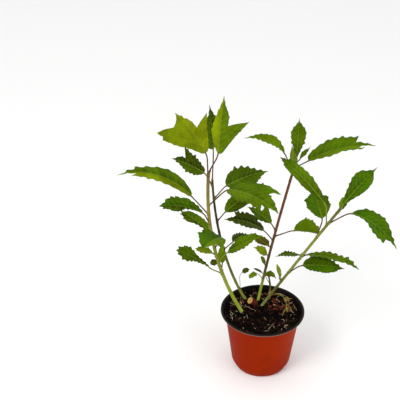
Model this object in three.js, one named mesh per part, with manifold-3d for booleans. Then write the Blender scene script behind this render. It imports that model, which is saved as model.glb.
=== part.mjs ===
// A young hibiscus shrub in its pot: four leaning stems that rise from one crown in the potting soil,
// with toothed and lobed leaves on thin stalks. Millimetres, +Z up. The origin is the centre of the
// pot's flat underside, and +Y points to the back of the plant.

import * as THREE from "three";
import { mergeVertices } from "three/addons/utils/BufferGeometryUtils.js";
import Module from "manifold-3d";

const wasm = await Module();
wasm.setup();

// Driving dimensions

const POT_HEIGHT = 82;
const RIM_RADIUS = 52.5;
const RIM_WIDTH = 2.4;
const RIM_SKIRT = 1.6;
const COLLAR_DEPTH = 6;
const BODY_TOP_RADIUS = 46.5;
const BODY_FOOT_RADIUS = 37.5;
const FOOT_RADIUS = 33;
const FOOT_HEIGHT = 9;
const WALL = 1.2;
const POT_SIDES = 48;

// The drain holes in the pot's floor.
const HOLE_COUNT = 6;
const HOLE_RADIUS = 3;
const HOLE_CIRCLE = 24;
const HOLE_SIDES = 8;
const HOLE_CUTTER = 4 * WALL;

// The gap between pieces that rest on each other, and the wider one at the foot of a leafy tip.
const GAP = 0.3;
const SHOOT_GAP = 0.36;

const SOIL_LEVEL = 77;
const SOIL_EDGE_RISE = 2;
const SOIL_EDGE_WIDTH = 4;
const STEM_FOOT = SOIL_LEVEL + GAP;

// The stems widen a little over the last millimetres above the soil. They are drawn on below it by
// a share of their length, and a block above the soil cuts them flat.
const STEM_SIDES = 8;
const STEM_STEPS = 14;
const SHOOT_STEPS = 3;
const FLARE_HEIGHT = 7;
const FLARE_WIDTH = 0.12;
const BURIED_SHARE = 0.04;
const BLOCK_SIZE = 400;

// A leaf stalk tapers from the stem to the blade, and is sunk into a share of the blade's length.
const STALK_THICK = 1.8;
const STALK_SLENDERNESS = 14;
const STALK_FOOT_SCALE = 1.15;
const STALK_TAPER = 0.35;
const STALK_SIDES = 5;
const STALK_STEPS = 5;
const STALK_SINK = 0.08;

// A blade is thicker than life. The pitch of its teeth is in millimetres, and their depth and the
// place of their crests are shares of that pitch. The teeth grow from none near the stalk to full size.
const BLADE_THICK = 0.8;
const BLADE_THICK_SHARE = 0.0105;
const SPINE_STEPS = 8;
const FOLD_COST = 100;
const WAVE_SLOPE = 0.06;
const WAVE_TURNS = 2.3;
const LEAST_BEND = 1e-4;
const TOOTH_PITCH = 5.5;
const TOOTH_DEPTH = 0.38;
const TOOTH_CREST = 0.75;
const TOOTH_LEAST = 0.45;
const TOOTH_SPREAD = 1.3;
const TOOTHLESS_BASE = 0.12;
const FULL_TEETH = 0.4;
const MOST_TEETH = 9;
const SEEDS_PER_LEAF = 31;

// The stub of an old stem, by the centres of its foot and its cut face.
const STUMP = { foot: [-9.5, 14, 80.4], face: [-16, 10.5, 87], radius: [4.1, 4.6], sides: 10, steps: 2 };

// A dried stalk that arches over the soil, with one side shoot. Heights are over the low points.
const TWIG = {
  low: STEM_FOOT + 0.8,
  main: [[13, 37, 0], [22, 29, 7], [29, 16, 6], [31, 2, 0]],
  branch: [[27, 20, 6.5], [31, 24, 6], [33, 27, 2]],
  radius: [0.9, 0.6],
  sides: 5,
  mainSteps: 9,
  branchSteps: 4,
};

const MERGE_DISTANCE = 1e-4;
const HASH_STEP = 12.9898;
const HASH_SCALE = 43758.5453;

// The stems, by the place of the foot, the point that the curve bends towards, the tip, and the
// thickness at foot and tip. Each stem ends at its cut share, where its leafy tip begins.

const STEMS = {
  front_left: { foot: [-27, 1.5], bend: [-74, -12, 175], tip: [-66, -40, 300], thick: [4.5, 3.6], cut: 0.94 },
  back_left: { foot: [-24, 28], bend: [-62, 44, 138], tip: [-69, 65, 230], thick: [3.7, 2.8], cut: 0.92 },
  middle: { foot: [-6, 26.5], bend: [7, 40, 155], tip: [33, 68, 258], thick: [3.4, 3.4], cut: 0.9 },
  right: { foot: [-1, 14], bend: [43, -8, 170], tip: [84, -38, 261], thick: [3.5, 3.2], cut: 0.89 },
  sprout: { foot: [8, 37.5], bend: [10, 39, 94], tip: [5, 40, 108], thick: [2.6, 1.8], cut: 0 },
};

// Half outlines of a leaf blade, in shares of its length: along the midrib, then out to the side.
// A point marked 1 is a sharp corner, the tip of a lobe or the notch beside it.

const FORMS = {
  lance: [[0, 0], [0.08, 0.05], [0.3, 0.13], [0.52, 0.13], [0.74, 0.06], [0.88, 0.018], [1, 0]],
  ovate: [[0, 0], [0.04, 0.09], [0.2, 0.2], [0.42, 0.23], [0.64, 0.15], [0.8, 0.06], [0.9, 0.02],
    [1, 0]],
  blunt: [[0, 0], [0.05, 0.06], [0.2, 0.15], [0.43, 0.21], [0.66, 0.2], [0.86, 0.15, 1], [0.87, 0.08, 1],
    [1, 0]],
  spoon: [[0, 0], [0.1, 0.03], [0.3, 0.07], [0.5, 0.12], [0.68, 0.22], [0.83, 0.25, 1], [0.84, 0.17, 1],
    [0.97, 0.13, 1], [0.94, 0.07, 1], [1, 0]],
  paddle: [[0, 0], [0.1, 0.04], [0.3, 0.12], [0.55, 0.2], [0.72, 0.18], [0.84, 0.07], [0.9, 0.02],
    [1, 0]],
  hatchet: [[0, 0], [0.1, 0.04], [0.34, 0.08], [0.5, 0.18], [0.6, 0.24], [0.8, 0.2, 1], [0.77, 0.08, 1],
    [0.88, 0.03], [1, 0]],
  fan: [[0, 0], [0.04, 0.11], [0.2, 0.26], [0.43, 0.4, 1], [0.47, 0.34], [0.58, 0.35], [0.68, 0.39, 1],
    [0.72, 0.3], [0.88, 0.15], [1, 0]],
  arrow: [[0, 0], [0.05, 0.1], [0.3, 0.21], [0.55, 0.2], [0.78, 0.19, 1], [0.72, 0.08, 1], [0.86, 0.03],
    [1, 0]],
  hand: [[0, 0], [0.03, 0.1], [0.25, 0.2], [0.5, 0.29], [0.79, 0.43, 1], [0.7, 0.27], [0.64, 0.12, 1],
    [0.78, 0.11], [0.9, 0.035], [1, 0]],
  three: [[0, 0], [0.02, 0.08], [0.2, 0.2], [0.4, 0.34], [0.62, 0.52, 1], [0.56, 0.3], [0.5, 0.14, 1],
    [0.68, 0.13], [0.84, 0.05], [1, 0]],
  palm: [[0, 0], [0.02, 0.08], [0.21, 0.26], [0.44, 0.47], [0.66, 0.67, 1], [0.74, 0.6], [0.88, 0.63, 1],
    [0.84, 0.43], [0.77, 0.25, 1], [0.83, 0.14], [0.91, 0.05], [1, 0]],
  mitten: [[0, 0], [0.04, 0.11], [0.18, 0.2], [0.36, 0.26], [0.57, 0.29], [0.8, 0.32, 1], [0.71, 0.24],
    [0.66, 0.17, 1], [0.79, 0.12], [0.9, 0.05], [1, 0]],
};

// The leaves, from the foot of each stem to its tip: the share of the stem where the stalk leaves it,
// the stalk's turn about the stem, its rise and its length, the blade's turn, tilt and length, how far
// the blade droops and rolls, its left and right form, its breadth, the fold along its midrib and how
// deep its teeth are cut. Angles are in degrees. A turn of 0 points to the right and 90 to the back.

const leaf = (stem, at, stalk, blade, bend, forms, wide, fold, jag) => ({
  stem, at, wide, fold, jag,
  turn: stalk[0], rise: stalk[1], reach: stalk[2],
  heading: blade[0], tilt: blade[1], length: blade[2],
  droop: bend[0], roll: bend[1],
  left: forms[0], right: forms[1],
});

const LEAVES = [
  leaf("front_left", 0.305, [-165, 35, 18], [-170, 45, 51], [20, -25], ["spoon", "spoon"], 0.82, 10, 0.8),
  leaf("front_left", 0.33, [70, 72, 10], [105, 62, 23], [15, 0], ["ovate", "ovate"], 1, 15, 0.5),
  leaf("front_left", 0.37, [130, 10, 4], [168, 12, 10], [30, -25], ["blunt", "blunt"], 2, 10, 0.8),
  leaf("front_left", 0.4, [-20, 55, 21], [-5, 42, 50], [15, 30], ["blunt", "ovate"], 0.72, 15, 0.7),
  leaf("front_left", 0.44, [165, 35, 6], [158, 4, 24], [10, -15], ["blunt", "blunt"], 0.9, 10, 0.6),
  leaf("front_left", 0.5, [-47, 56, 27], [-115, 35, 50], [40, -15], ["hand", "fan"], 0.98, 5, 0.5),
  leaf("front_left", 0.59, [80, -35, 16], [152, 32, 52], [20, -30], ["spoon", "blunt"], 0.62, 15, 0.7),
  leaf("front_left", 0.67, [-130, 60, 23], [-147, 41, 62], [32, -30], ["spoon", "blunt"], 0.72, 20, 0.9),
  leaf("front_left", 0.73, [160, 42, 30], [170, 46, 98], [74, -30], ["arrow", "ovate"], 0.42, 20, 0.8),
  leaf("front_left", 0.79, [0, 45, 32], [-36, 20, 73], [45, 12], ["mitten", "arrow"], 0.95, 5, 0.6),
  leaf("front_left", 0.97, [170, 84, 30], [147, 50, 56], [20, -20], ["palm", "three"], 0.95, 5, 0.3),
  leaf("front_left", 0.99, [-15, 68, 29], [75, 78, 64], [10, 10], ["lance", "three"], 0.94, 10, 0.3),

  leaf("back_left", 0.08, [-75, 75, 36], [0, 42, 10.5], [30, 35], ["blunt", "blunt"], 1.5, 10, 0.5),
  leaf("back_left", 0.46, [45, 20, 17], [60, 0, 42], [30, 0], ["ovate", "ovate"], 0.8, 10, 0.8),
  leaf("back_left", 0.69, [20, 50, 17], [45, 20, 57], [20, 20], ["ovate", "ovate"], 0.8, 5, 0.6),
  leaf("back_left", 0.86, [35, 38, 23], [32, 17, 62], [25, 20], ["ovate", "ovate"], 1.15, 0, 1),
  leaf("back_left", 0.95, [-160, 62, 24], [178, 34, 44], [20, -35], ["ovate", "hand"], 1.05, 10, 0.9),
  leaf("back_left", 0.99, [-60, 87, 46], [130, 84, 56], [5, 0], ["ovate", "lance"], 1.4, 20, 0.3),

  leaf("middle", 0.18, [-133, 50, 18], [-140, 24, 14], [70, -20], ["blunt", "blunt"], 1.1, 10, 0.5),
  leaf("middle", 0.285, [170, 45, 3], [140, 65, 12], [20, 0], ["blunt", "blunt"], 1.2, 10, 0.5),
  leaf("middle", 0.36, [-115, 50, 9], [-168, 45, 22], [20, -30], ["ovate", "ovate"], 1.2, 10, 0.5),
  leaf("middle", 0.43, [125, -10, 6], [130, 5, 27], [10, 0], ["blunt", "blunt"], 1.3, 0, 0.5),
  leaf("middle", 0.48, [-128, 52, 31], [-145, 46, 68], [30, -25], ["blunt", "arrow"], 0.8, 15, 0.9),
  leaf("middle", 0.51, [10, 17, 26], [8, -2, 35], [20, 5], ["fan", "lance"], 1.3, 32, 0.7),
  leaf("middle", 0.55, [140, 43, 12], [132, 12, 46], [20, -10], ["three", "three"], 0.8, 5, 0.7),
  leaf("middle", 0.93, [-155, 68, 33], [-168, 55, 58], [60, -25], ["lance", "ovate"], 0.66, 15, 0.3),
  leaf("middle", 0.94, [-90, 56, 10], [-120, 82, 35], [5, 0], ["lance", "lance"], 1.1, 20, 0.3),
  leaf("middle", 0.96, [5, 32, 20], [16, 28, 88], [40, 10], ["arrow", "arrow"], 0.76, 20, 0.5),
  leaf("middle", 0.98, [-65, 70, 11], [85, 84, 52], [8, 10], ["paddle", "paddle"], 0.85, 15, 0.8),
  leaf("middle", 0.99, [15, 45, 7], [50, 28, 23], [5, 0], ["lance", "lance"], 1, 20, 0.3),

  leaf("right", 0.26, [127, 40, 4], [-130, 77, 26], [5, 0], ["blunt", "blunt"], 0.6, 10, 0.5),
  leaf("right", 0.35, [-35, 45, 28], [-15, 18, 51], [20, 18], ["ovate", "blunt"], 1.15, 12, 0.8),
  leaf("right", 0.49, [10, 36, 10], [-20, 17, 67], [38, -5], ["blunt", "ovate"], 0.55, 15, 0.9),
  leaf("right", 0.52, [135, -5, 6], [-142, 28, 37], [25, -10], ["ovate", "lance"], 0.7, 10, 0.6),
  leaf("right", 0.7, [66, 55, 24], [104, 25, 43], [20, -5], ["fan", "fan"], 0.9, 5, 0.7),
  leaf("right", 0.82, [-170, 82, 30], [142, 38, 76], [20, -25], ["blunt", "blunt"], 0.5, 15, 0.5),
  leaf("right", 0.84, [-16, 37, 32], [-39, 13, 69], [60, 5], ["ovate", "hatchet"], 0.92, 10, 0.3),
  leaf("right", 0.94, [-20, 50, 6], [62, 52, 17], [5, 0], ["blunt", "blunt"], 1.2, 0, 0.4),
  leaf("right", 0.98, [-50, 70, 3], [30, 48, 60], [10, 20], ["paddle", "paddle"], 0.98, 15, 0.12),

  leaf("sprout", 0.5, [186, 60, 20], [178, 40, 14], [25, -20], ["blunt", "blunt"], 0.55, 10, 0.4),
  leaf("sprout", 0.9, [180, 20, 5], [-8, 40, 18], [115, 15], ["ovate", "ovate"], 1, 10, 0.4),
];

// Materials

const material = (color, roughness) => new THREE.MeshStandardMaterial({ color, roughness, metalness: 0 });

const FINISH = {
  pot: material(0xa5340f, 0.45),
  soil: material(0x1c130e, 0.95),
  stump: material(0x6b3a22, 0.8),
  twig: material(0x8a8334, 0.7),
  greenStem: material(0x7f9a33, 0.5),
  brownStem: material(0x7a4526, 0.55),
  leaf: material(0x4f7d16, 0.5),
};

// Solids

function toSolid(geometry) {
  const bare = geometry.clone();
  bare.deleteAttribute("normal");
  bare.deleteAttribute("uv");
  const merged = mergeVertices(bare, MERGE_DISTANCE);
  return new wasm.Manifold(new wasm.Mesh({
    numProp: 3,
    vertProperties: new Float32Array(merged.attributes.position.array),
    triVerts: new Uint32Array(merged.index.array),
  }));
}

function toGeometry(solid) {
  const mesh = solid.getMesh();
  const geometry = new THREE.BufferGeometry();
  geometry.setAttribute("position", new THREE.BufferAttribute(mesh.vertProperties, 3));
  geometry.setIndex(new THREE.BufferAttribute(mesh.triVerts, 1));
  return geometry;
}

function fromTriangles(points, triangles) {
  const numbers = points.flatMap((point) => point.toArray());
  const geometry = new THREE.BufferGeometry();
  geometry.setAttribute("position", new THREE.Float32BufferAttribute(numbers, 3));
  geometry.setIndex(triangles.flat());
  return toSolid(geometry);
}

function revolve(profile) {
  const points = profile.map(([r, z]) => new THREE.Vector2(r, z));
  return toSolid(new THREE.LatheGeometry(points, POT_SIDES).rotateX(Math.PI / 2));
}

function fraction(value) {
  return value - Math.floor(value);
}

// The same seed always gives the same number between 0 and 1.
function chance(seed) {
  return fraction(Math.sin(seed * HASH_STEP) * HASH_SCALE);
}

// A closed tube along a curve, whose radius changes from start to end.
function tube(curve, radiusAt, sides, steps) {
  const frames = curve.computeFrenetFrames(steps, false);
  const points = [curve.getPoint(0)];
  for (let i = 0; i <= steps; i += 1) {
    const centre = curve.getPointAt(i / steps);
    for (let k = 0; k < sides; k += 1) {
      const angle = (2 * Math.PI * k) / sides;
      const out = frames.normals[i].clone().multiplyScalar(Math.cos(angle));
      out.addScaledVector(frames.binormals[i], Math.sin(angle));
      points.push(centre.clone().addScaledVector(out, radiusAt(i / steps)));
    }
  }
  points.push(curve.getPoint(1));
  const ring = (i, k) => 1 + i * sides + (k % sides);
  const triangles = [];
  for (let k = 0; k < sides; k += 1) {
    triangles.push([0, ring(0, k + 1), ring(0, k)]);
    triangles.push([points.length - 1, ring(steps, k), ring(steps, k + 1)]);
    for (let i = 0; i < steps; i += 1) {
      triangles.push([ring(i, k), ring(i, k + 1), ring(i + 1, k + 1)]);
      triangles.push([ring(i, k), ring(i + 1, k + 1), ring(i + 1, k)]);
    }
  }
  return fromTriangles(points, triangles);
}

// Stems

function stemPoint(stem, share) {
  const foot = new THREE.Vector3(...stem.foot, STEM_FOOT);
  const bend = new THREE.Vector3(...stem.bend);
  const tip = new THREE.Vector3(...stem.tip);
  return new THREE.QuadraticBezierCurve3(foot, bend, tip).getPoint(share);
}

// The thickness falls evenly from foot to tip, and the foot flares a little where it meets the soil.
function stemRadius(stem, share) {
  const height = stemPoint(stem, share).z - STEM_FOOT;
  const flare = 1 + FLARE_WIDTH * Math.max(0, 1 - height / FLARE_HEIGHT) ** 2;
  return (THREE.MathUtils.lerp(stem.thick[0], stem.thick[1], share) / 2) * flare;
}

// The stretch of a stem between two of its shares, made wider all round by the extra radius.
function stemPiece(stem, from, to, steps, extra = 0) {
  const shareAt = (t) => THREE.MathUtils.lerp(from, to, t);
  const points = [];
  for (let i = 0; i <= steps; i += 1) points.push(stemPoint(stem, shareAt(i / steps)));
  const path = new THREE.CatmullRomCurve3(points);
  path.getPointAt = path.getPoint;
  return tube(path, (t) => stemRadius(stem, shareAt(t)) + extra, STEM_SIDES, steps);
}

function stemSolid(stem) {
  const whole = stemPiece(stem, -BURIED_SHARE, stem.cut, STEM_STEPS);
  const block = new THREE.BoxGeometry(BLOCK_SIZE, BLOCK_SIZE, BLOCK_SIZE);
  block.translate(0, 0, STEM_FOOT + BLOCK_SIZE / 2);
  return whole.intersect(toSolid(block));
}

// The stem's leafy tip begins a gap above the cut and carries the last leaves.
function shootSolid(stem) {
  const length = stemPoint(stem, stem.cut).distanceTo(stemPoint(stem, 1));
  const start = stem.cut + (SHOOT_GAP / length) * (1 - stem.cut);
  return stemPiece(stem, start, 1, SHOOT_STEPS);
}

// Leaves

const radians = THREE.MathUtils.degToRad;

// A turn about the upright axis and a rise above the level, in degrees, as a direction.
function direction(turn, rise) {
  const angle = radians(turn);
  const flat = Math.cos(radians(rise));
  return new THREE.Vector3(flat * Math.cos(angle), flat * Math.sin(angle), Math.sin(radians(rise)));
}

function bladeBase(item) {
  const start = stemPoint(STEMS[item.stem], item.at);
  return start.addScaledVector(direction(item.turn, item.rise), item.reach);
}

// A point of the blade, by its shares along and across and its height over the middle of the blade.
// The cross section is folded along the midrib, waved, and rolled; the midrib droops as an arc.
function bladePoint(item, along, across, height) {
  const { length } = item;
  const fold = radians(item.fold);
  const roll = radians(item.roll);
  const wave = WAVE_SLOPE * Math.sin(2 * Math.PI * (WAVE_TURNS * along + chance(item.seed)));
  const side = across * length * Math.cos(fold);
  const lift = Math.abs(across) * length * (Math.sin(fold) + wave) + height;
  const sideways = side * Math.cos(roll) - lift * Math.sin(roll);
  const normal = side * Math.sin(roll) + lift * Math.cos(roll);
  const bend = Math.max(radians(item.droop), LEAST_BEND) / length;
  const angle = bend * along * length;
  const forward = Math.sin(angle) / bend + normal * Math.sin(angle);
  const rise = -(1 - Math.cos(angle)) / bend + normal * Math.cos(angle);
  const ahead = direction(item.heading, item.tilt);
  const left = direction(item.heading + 90, 0);
  const over = ahead.clone().cross(left);
  const point = bladeBase(item).addScaledVector(ahead, forward);
  return point.addScaledVector(left, sideways).addScaledVector(over, rise);
}

// Splits a half outline at its sharp corners into smooth curves.
function outlineCurves(form) {
  const curves = [];
  let span = [form[0]];
  for (const point of form.slice(1)) {
    span.push(point);
    if (point[2] || point === form.at(-1)) {
      curves.push(new THREE.SplineCurve(span.map(([x, y]) => new THREE.Vector2(x, y))));
      span = [point];
    }
  }
  return curves;
}

// The toothed edge of one half: forward-pointing teeth along each curve, uneven in depth, and flatter
// near the stalk and where the edge turns away from the tip. The last stretch of a curve has no tooth.
function toothedEdge(item, form) {
  const { clamp } = THREE.MathUtils;
  const edge = [new THREE.Vector2(0, 0)];
  let seed = item.seed * SEEDS_PER_LEAF;
  for (const curve of outlineCurves(FORMS[form])) {
    const span = curve.getLength() * item.length;
    const teeth = clamp(Math.round(span / TOOTH_PITCH), 1, MOST_TEETH);
    for (let i = 0; i < teeth; i += 1) {
      const crest = curve.getPointAt((i + TOOTH_CREST) / teeth);
      const along = curve.getTangentAt((i + TOOTH_CREST) / teeth);
      const grown = clamp(THREE.MathUtils.inverseLerp(TOOTHLESS_BASE, FULL_TEETH, crest.x), 0, 1);
      const uneven = TOOTH_LEAST + TOOTH_SPREAD * chance(seed) ** 2;
      const size = TOOTH_DEPTH * item.jag * uneven * grown * Math.max(0, along.x);
      seed += 1;
      crest.add(new THREE.Vector2(-along.y, along.x).multiplyScalar((curve.getLength() / teeth) * size));
      if (i < teeth - 1) edge.push(crest);
      edge.push(curve.getPointAt((i + 1) / teeth));
    }
  }
  return edge.map((point) => new THREE.Vector2(point.x, Math.max(0, point.y) * item.wide));
}

// Joins the midrib to the edge by a strip of triangles, each from one line to a step of the other. Of all
// such strips it takes the one with the shortest bridges, where a triangle that folds back costs most.
function stripBetween(spine, edge) {
  const folds = (a, b, c) => (b.x - a.x) * (c.y - a.y) - (c.x - a.x) * (b.y - a.y) < 0;
  const best = spine.map(() => edge.map(() => ({ cost: Infinity })));
  best[0][0].cost = 0;
  spine.forEach((inner, j) => edge.forEach((outer, i) => {
    const offer = (from, folded, triangle) => {
      const cost = from.cost + inner.distanceTo(outer) + (folded ? FOLD_COST : 0);
      if (cost < best[j][i].cost) best[j][i] = { cost, from, triangle };
    };
    if (i > 0) offer(best[j][i - 1], folds(inner, outer, edge[i - 1]), { j, i, next: "edge" });
    if (j > 0) offer(best[j - 1][i], folds(spine[j - 1], inner, outer), { j, i, next: "spine" });
  }));
  const strip = [];
  for (let place = best.at(-1).at(-1); place.from; place = place.from) strip.push(place.triangle);
  return strip;
}

// The blade is a thin shell between its top and its underside, one half on each side of the midrib.
function bladeSolid(item) {
  const half = Math.max(BLADE_THICK, BLADE_THICK_SHARE * item.length) / 2;
  const points = [];
  const addPair = ({ x, y }) => {
    points.push(bladePoint(item, x, y, half), bladePoint(item, x, y, -half));
    return points.length - 2;
  };
  const spine = [];
  for (let j = 0; j <= SPINE_STEPS; j += 1) spine.push(new THREE.Vector2(j / SPINE_STEPS, 0));
  const ribs = spine.map(addPair);
  const triangles = [];
  const addFace = (a, b, c) => {
    if (a !== b && b !== c && c !== a) triangles.push([a, b, c], [a + 1, c + 1, b + 1]);
  };
  for (const [side, form] of [[1, item.left], [-1, item.right]]) {
    const edge = toothedEdge(item, form);
    const inside = edge.slice(1, -1).map(({ x, y }) => addPair({ x, y: side * y }));
    const rims = [ribs[0], ...inside, ribs.at(-1)];
    for (const { j, i, next } of stripBetween(spine, edge)) {
      const corners = next === "edge" ? [ribs[j], rims[i], rims[i - 1]] : [ribs[j - 1], ribs[j], rims[i]];
      addFace(...(side > 0 ? corners : corners.reverse()));
    }
    for (let i = 1; i < rims.length; i += 1) {
      const [a, b] = side > 0 ? [rims[i], rims[i - 1]] : [rims[i - 1], rims[i]];
      triangles.push([a, a + 1, b + 1], [a, b + 1, b]);
    }
  }
  return fromTriangles(points, triangles);
}

// The stalk starts inside the stem, and its end is sunk under the midrib of the blade.
function stalkSolid(item) {
  const start = stemPoint(STEMS[item.stem], item.at);
  const base = bladeBase(item);
  const under = -STALK_THICK / 4;
  const path = new THREE.CatmullRomCurve3([
    start,
    start.clone().lerp(base, 0.5),
    bladePoint(item, 0, 0, under),
    bladePoint(item, STALK_SINK, 0, under),
  ]);
  const thick = Math.min(STALK_THICK, item.length / STALK_SLENDERNESS);
  const radiusAt = (t) => (thick / 2) * (STALK_FOOT_SCALE - STALK_TAPER * t);
  return tube(path, radiusAt, STALK_SIDES, STALK_STEPS);
}

function leafSolid(item) {
  return stalkSolid(item).add(bladeSolid(item));
}

// Pot and soil

const potProfile = [
  [0, 0],
  [FOOT_RADIUS, 0],
  [BODY_FOOT_RADIUS, FOOT_HEIGHT],
  [BODY_TOP_RADIUS, POT_HEIGHT - COLLAR_DEPTH],
  [RIM_RADIUS - WALL, POT_HEIGHT - RIM_SKIRT],
  [RIM_RADIUS, POT_HEIGHT - RIM_SKIRT],
  [RIM_RADIUS, POT_HEIGHT],
  [RIM_RADIUS - RIM_WIDTH, POT_HEIGHT],
  [BODY_TOP_RADIUS - WALL, POT_HEIGHT - COLLAR_DEPTH],
  [BODY_FOOT_RADIUS - WALL, FOOT_HEIGHT + WALL / 2],
  [FOOT_RADIUS - WALL, WALL],
  [0, WALL],
];

function potSolid() {
  let solid = revolve(potProfile);
  for (let i = 0; i < HOLE_COUNT; i += 1) {
    const angle = (2 * Math.PI * (i + 0.5)) / HOLE_COUNT;
    const hole = new THREE.CylinderGeometry(HOLE_RADIUS, HOLE_RADIUS, HOLE_CUTTER, HOLE_SIDES);
    hole.rotateX(Math.PI / 2);
    hole.translate(HOLE_CIRCLE * Math.cos(angle), HOLE_CIRCLE * Math.sin(angle), WALL / 2);
    solid = solid.subtract(toSolid(hole));
  }
  return solid;
}

// The soil fills the pot a gap clear of its wall, flat in the middle and higher at the wall.
function soilSolid() {
  const collar = POT_HEIGHT - COLLAR_DEPTH;
  const between = (z, low, high) => THREE.MathUtils.mapLinear(z, low[0], high[0], low[1], high[1]) - 2 * GAP;
  const foot = [FOOT_HEIGHT, BODY_FOOT_RADIUS - WALL];
  const top = [collar, BODY_TOP_RADIUS - WALL];
  const edge = SOIL_LEVEL + SOIL_EDGE_RISE;
  const edgeRadius = between(edge, top, [POT_HEIGHT, RIM_RADIUS - RIM_WIDTH]);
  return revolve([
    [0, WALL + GAP],
    [FOOT_RADIUS - WALL - 2 * GAP, WALL + GAP],
    [between(FOOT_HEIGHT + WALL, foot, top), FOOT_HEIGHT + WALL],
    [between(collar, foot, top), collar],
    [edgeRadius, edge],
    [edgeRadius - SOIL_EDGE_WIDTH, SOIL_LEVEL],
    [0, SOIL_LEVEL],
  ]);
}

// What lies on the soil

function stumpSolid() {
  const path = new THREE.LineCurve3(new THREE.Vector3(...STUMP.foot), new THREE.Vector3(...STUMP.face));
  return tube(path, (t) => THREE.MathUtils.lerp(...STUMP.radius, t), STUMP.sides, STUMP.steps);
}

function twigSolid() {
  const arm = (places, steps) => {
    const points = places.map(([x, y, height]) => new THREE.Vector3(x, y, TWIG.low + height));
    const path = new THREE.CatmullRomCurve3(points);
    return tube(path, (t) => THREE.MathUtils.lerp(...TWIG.radius, t), TWIG.sides, steps);
  };
  return arm(TWIG.main, TWIG.mainSteps).add(arm(TWIG.branch, TWIG.branchSteps));
}

// The plant as a scene

const plant = new THREE.Group();

function addPiece(name, solid, finish) {
  const mesh = new THREE.Mesh(toGeometry(solid), finish);
  mesh.name = name;
  plant.add(mesh);
}

addPiece("pot", potSolid(), FINISH.pot);
addPiece("potting_soil", soilSolid(), FINISH.soil);
addPiece("cut_stump", stumpSolid(), FINISH.stump);
addPiece("dry_twig", twigSolid(), FINISH.twig);

LEAVES.forEach((item, i) => {
  item.seed = i + 1;
});

for (const [name, stem] of Object.entries(STEMS)) {
  const finish = name === "middle" ? FINISH.brownStem : FINISH.greenStem;
  const items = LEAVES.filter((item) => item.stem === name);
  let tip = shootSolid(stem);
  for (const item of items.filter((each) => each.at > stem.cut)) tip = tip.add(leafSolid(item));
  if (stem.cut > 0) {
    addPiece(`stem_${name}`, stemSolid(stem), finish);
    const sleeve = stemPiece(stem, -BURIED_SHARE, stem.cut, STEM_STEPS, GAP);
    items.filter((item) => item.at <= stem.cut).forEach((item, k) => {
      addPiece(`leaf_${name}_${k + 1}`, leafSolid(item).subtract(sleeve), FINISH.leaf);
    });
  }
  addPiece(stem.cut > 0 ? `leafy_tip_${name}` : name, tip, FINISH.leaf);
}

export default plant;
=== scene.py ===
"""A young hibiscus shrub in its nursery pot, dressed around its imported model.

Stems, stalks and blades grow from the same sizes and by the same rule as the part's source, carried
on to finer teeth, veins, buds and bark. The tables are in millimetres and degrees, the meshes in metres.
"""

import math

import bmesh
import bpy
import numpy as np
from bpy.props import FloatProperty, FloatVectorProperty, IntProperty, PointerProperty
from bpy.types import Operator, Panel, PropertyGroup
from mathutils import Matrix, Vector, noise
from mathutils.geometry import delaunay_2d_cdt


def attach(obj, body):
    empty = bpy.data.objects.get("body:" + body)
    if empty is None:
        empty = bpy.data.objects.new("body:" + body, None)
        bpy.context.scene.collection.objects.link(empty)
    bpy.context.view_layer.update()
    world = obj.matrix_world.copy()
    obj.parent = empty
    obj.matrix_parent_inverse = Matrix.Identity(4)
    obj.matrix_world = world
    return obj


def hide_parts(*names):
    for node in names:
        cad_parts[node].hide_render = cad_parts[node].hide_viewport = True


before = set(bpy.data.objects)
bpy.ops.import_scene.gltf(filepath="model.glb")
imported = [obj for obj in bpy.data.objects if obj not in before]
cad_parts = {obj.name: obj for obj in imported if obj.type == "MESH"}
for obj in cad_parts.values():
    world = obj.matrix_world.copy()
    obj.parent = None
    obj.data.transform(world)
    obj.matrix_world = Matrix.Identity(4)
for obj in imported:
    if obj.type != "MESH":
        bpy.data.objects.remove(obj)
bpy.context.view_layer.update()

bl_info = {
    "name": "Potted hibiscus shrub",
    "version": (1, 0, 0),
    "blender": (4, 5, 0),
    "location": "3D View > Sidebar > Hibiscus",
    "description": "Dresses the model of a young hibiscus shrub in its nursery pot",
    "category": "Object",
}

MM = 0.001
UP = np.array((0.0, 0.0, 1.0))
TINY = 1e-12
FAR = 1e3
SAME_POINT = 1e-6

# A seed times the step, as a sine times the scale, has an evenly spread fraction.

HASH_STEP = 12.9898
HASH_SCALE = 43758.5453

# Rough surfaces: each layer of lumps is finer than the last by the step, and lower by it as well.

NOISE_FALL = 1.0
NOISE_STEP = 2.0
NOISE_LAYERS = 3

# The kind of triangulation that fills all inside the outermost outline.

ALL_INSIDE = 1

# Pot

POT_HEIGHT = 82
RIM_RADIUS = 52.5
RIM_WIDTH = 2.4
RIM_SKIRT = 1.6
COLLAR_DEPTH = 6
COLLAR_FOOT = POT_HEIGHT - COLLAR_DEPTH
BODY_TOP_RADIUS = 46.5
BODY_FOOT_RADIUS = 37.5
FOOT_RADIUS = 33
FOOT_HEIGHT = 9
WALL = 1.2
POT_SIDES = 144
EDGE_ROUNDING = 0.45
EDGE_STEPS = 4
FLOOR_RADIUS = 30
HOLE_COUNT = 6
HOLE_RADIUS = 3
HOLE_CIRCLE = 24
HOLE_SIDES = 24

# The pot is painted lighter and warmer to the right, as painted light from that side: how far from its
# middle that goes on, and by what factors.

LIT_SIDE_SPAN = 45
LIT_SIDE_GAIN = (1.2, 1.4, 1.3)

# Soil: its lumps by pitch, share and the level at which they are read, a dip towards the front, and
# the loose crumbs, which are balls pushed out of shape on all ground that looks up.

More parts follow.
